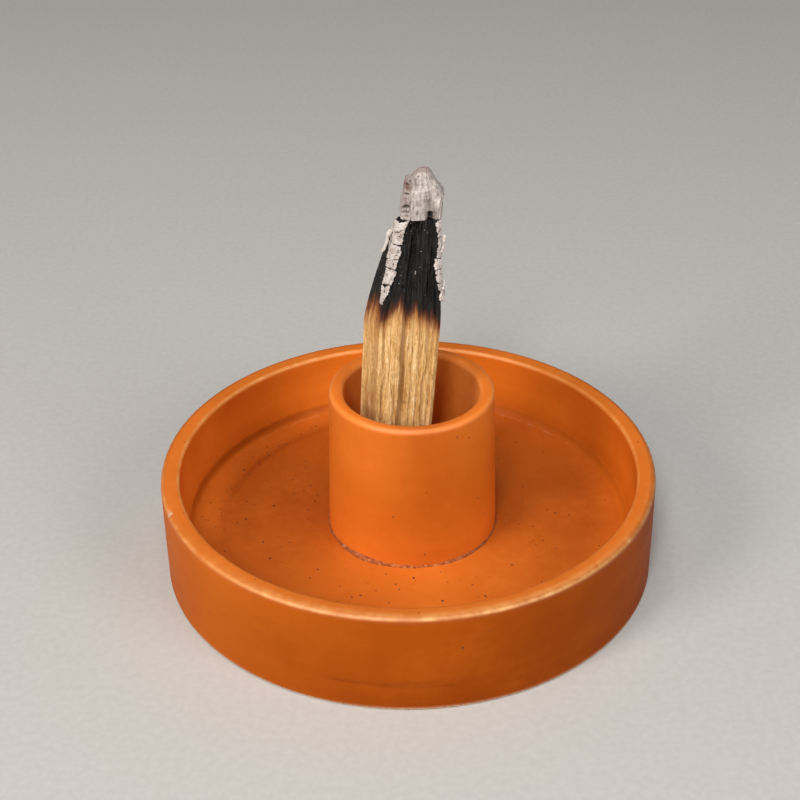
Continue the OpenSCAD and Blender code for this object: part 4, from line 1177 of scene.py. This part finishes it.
for name, node, blocks, surface, seed in (
        ("ashStripLeft", "ash_strip_left", leftCrust, overRidge, 200),
        ("ashStripRight", "ash_strip_right", rightCrust, overCorner, 300)):
    place(name, crustMesh(name, blocks, surface, seed), "stick", ashCrust, (node,))

# Curls that peel off the crusts
curls = {
    "steps": 40, "sides": 16,
    "flakes": [
        {"path": [(-2.75, -3.35, 75.6), (-3.3, -3.55, 74.6), (-3.55, -3.65, 73.2), (-4.0, -3.75, 72.0),
                  (-4.55, -3.85, 71.2)], "girth": [0.5, 0.4, 0.3, 0.24, 0.16], "flat": 0.5},
        {"path": [(6.35, -3.75, 70.7), (6.85, -3.95, 71.8), (7.05, -4.0, 73.0), (7.12, -3.95, 74.0),
                  (7.12, -3.9, 74.7)], "girth": [0.24, 0.19, 0.18, 0.32, 0.26], "flat": 0.9},
        {"path": [(6.75, -4.1, 63.2), (7.05, -4.25, 63.9), (7.1, -4.25, 64.6), (7.25, -4.2, 65.4)],
         "girth": [0.34, 0.24, 0.16, 0.1], "flat": 0.8}],
}
points, faces = [], []
steps, sides = curls["steps"], curls["sides"]
along = np.linspace(0, 1, steps)
around = np.linspace(0, 2 * math.pi, sides, endpoint=False)[None, :, None]
for number, flake in enumerate(curls["flakes"]):
    path = np.array(flake["path"])
    knots = np.linspace(0, 1, len(path))
    spine = np.stack([np.interp(along, knots, path[:, d]) for d in range(3)], -1)
    for k in range(6):
        spine[1:-1] = (spine[:-2] + 2 * spine[1:-1] + spine[2:]) / 4
    ahead = np.gradient(spine, axis=0)
    ahead /= np.linalg.norm(ahead, axis=1)[:, None]
    wide = np.cross(ahead, (0, 1, 0))
    wide /= np.linalg.norm(wide, axis=1)[:, None]
    thick = np.cross(wide, ahead)
    size = np.interp(along, knots, flake["girth"])
    size = size * (1 + 0.18 * smoothNoise(steps, 2, 2, 0.1, 400 + number)[:, 0])
    size[0], size[-1] = size[0] * 0.6, size[-1] * 0.5
    bumpy = size[:, None] * (1 + 0.12 * smoothNoise(steps, sides, 1.2, 1.2, 410 + number))
    oval = np.cos(around) * wide[:, None] + flake["flat"] * np.sin(around) * thick[:, None]
    faces += tubeFaces(steps, sides, number * (steps * sides + 2))
    points += [(spine[:, None] + bumpy[..., None] * oval).reshape(-1, 3), spine[:1], spine[-1:]]
curlMesh = meshFrom("ashCurls", np.concatenate(points), faces)
for label in ("hollowness", "singe"):
    setFloats(curlMesh, label, np.zeros(len(curlMesh.vertices)))
turnOutwards(curlMesh)
place("ashCurls", curlMesh, "stick", ashCrust, ("ash_curls",))

# Flecks of ash caught on the charcoal, and a brighter one on its front
flecks = {"count": 46, "seed": 31, "bright": (0.54, 65.8), "brightR": 0.13}
rng = np.random.default_rng(flecks["seed"])
outward = np.concatenate([-inward, np.zeros((rows, cols, 1))], -1)
lots = []
for k in range(flecks["count"]):
    row = int(rng.uniform(stick["woodRows"] + 10, rows - 2))
    onFront = rng.random() < 0.45
    col = int(rng.uniform(0, stick["cols"][0] if onFront else cols))
    lots.append((stickPoints[row, col], outward[row, col], rng.uniform(0.04, 0.09)))
brightX, brightZ = flecks["bright"]
row = int(np.argmin(np.abs(rowZ - brightZ)))
col = int(brightX * stick["cols"][0])
lots += [(stickPoints[row - step, col], outward[row, col], flecks["brightR"]) for step in (-1, 0, 1, 2)]
setGrains("ashFlecks", lots, ashCrust, "stick", 0.45, 0.06, 17)
print("ash and crust made")
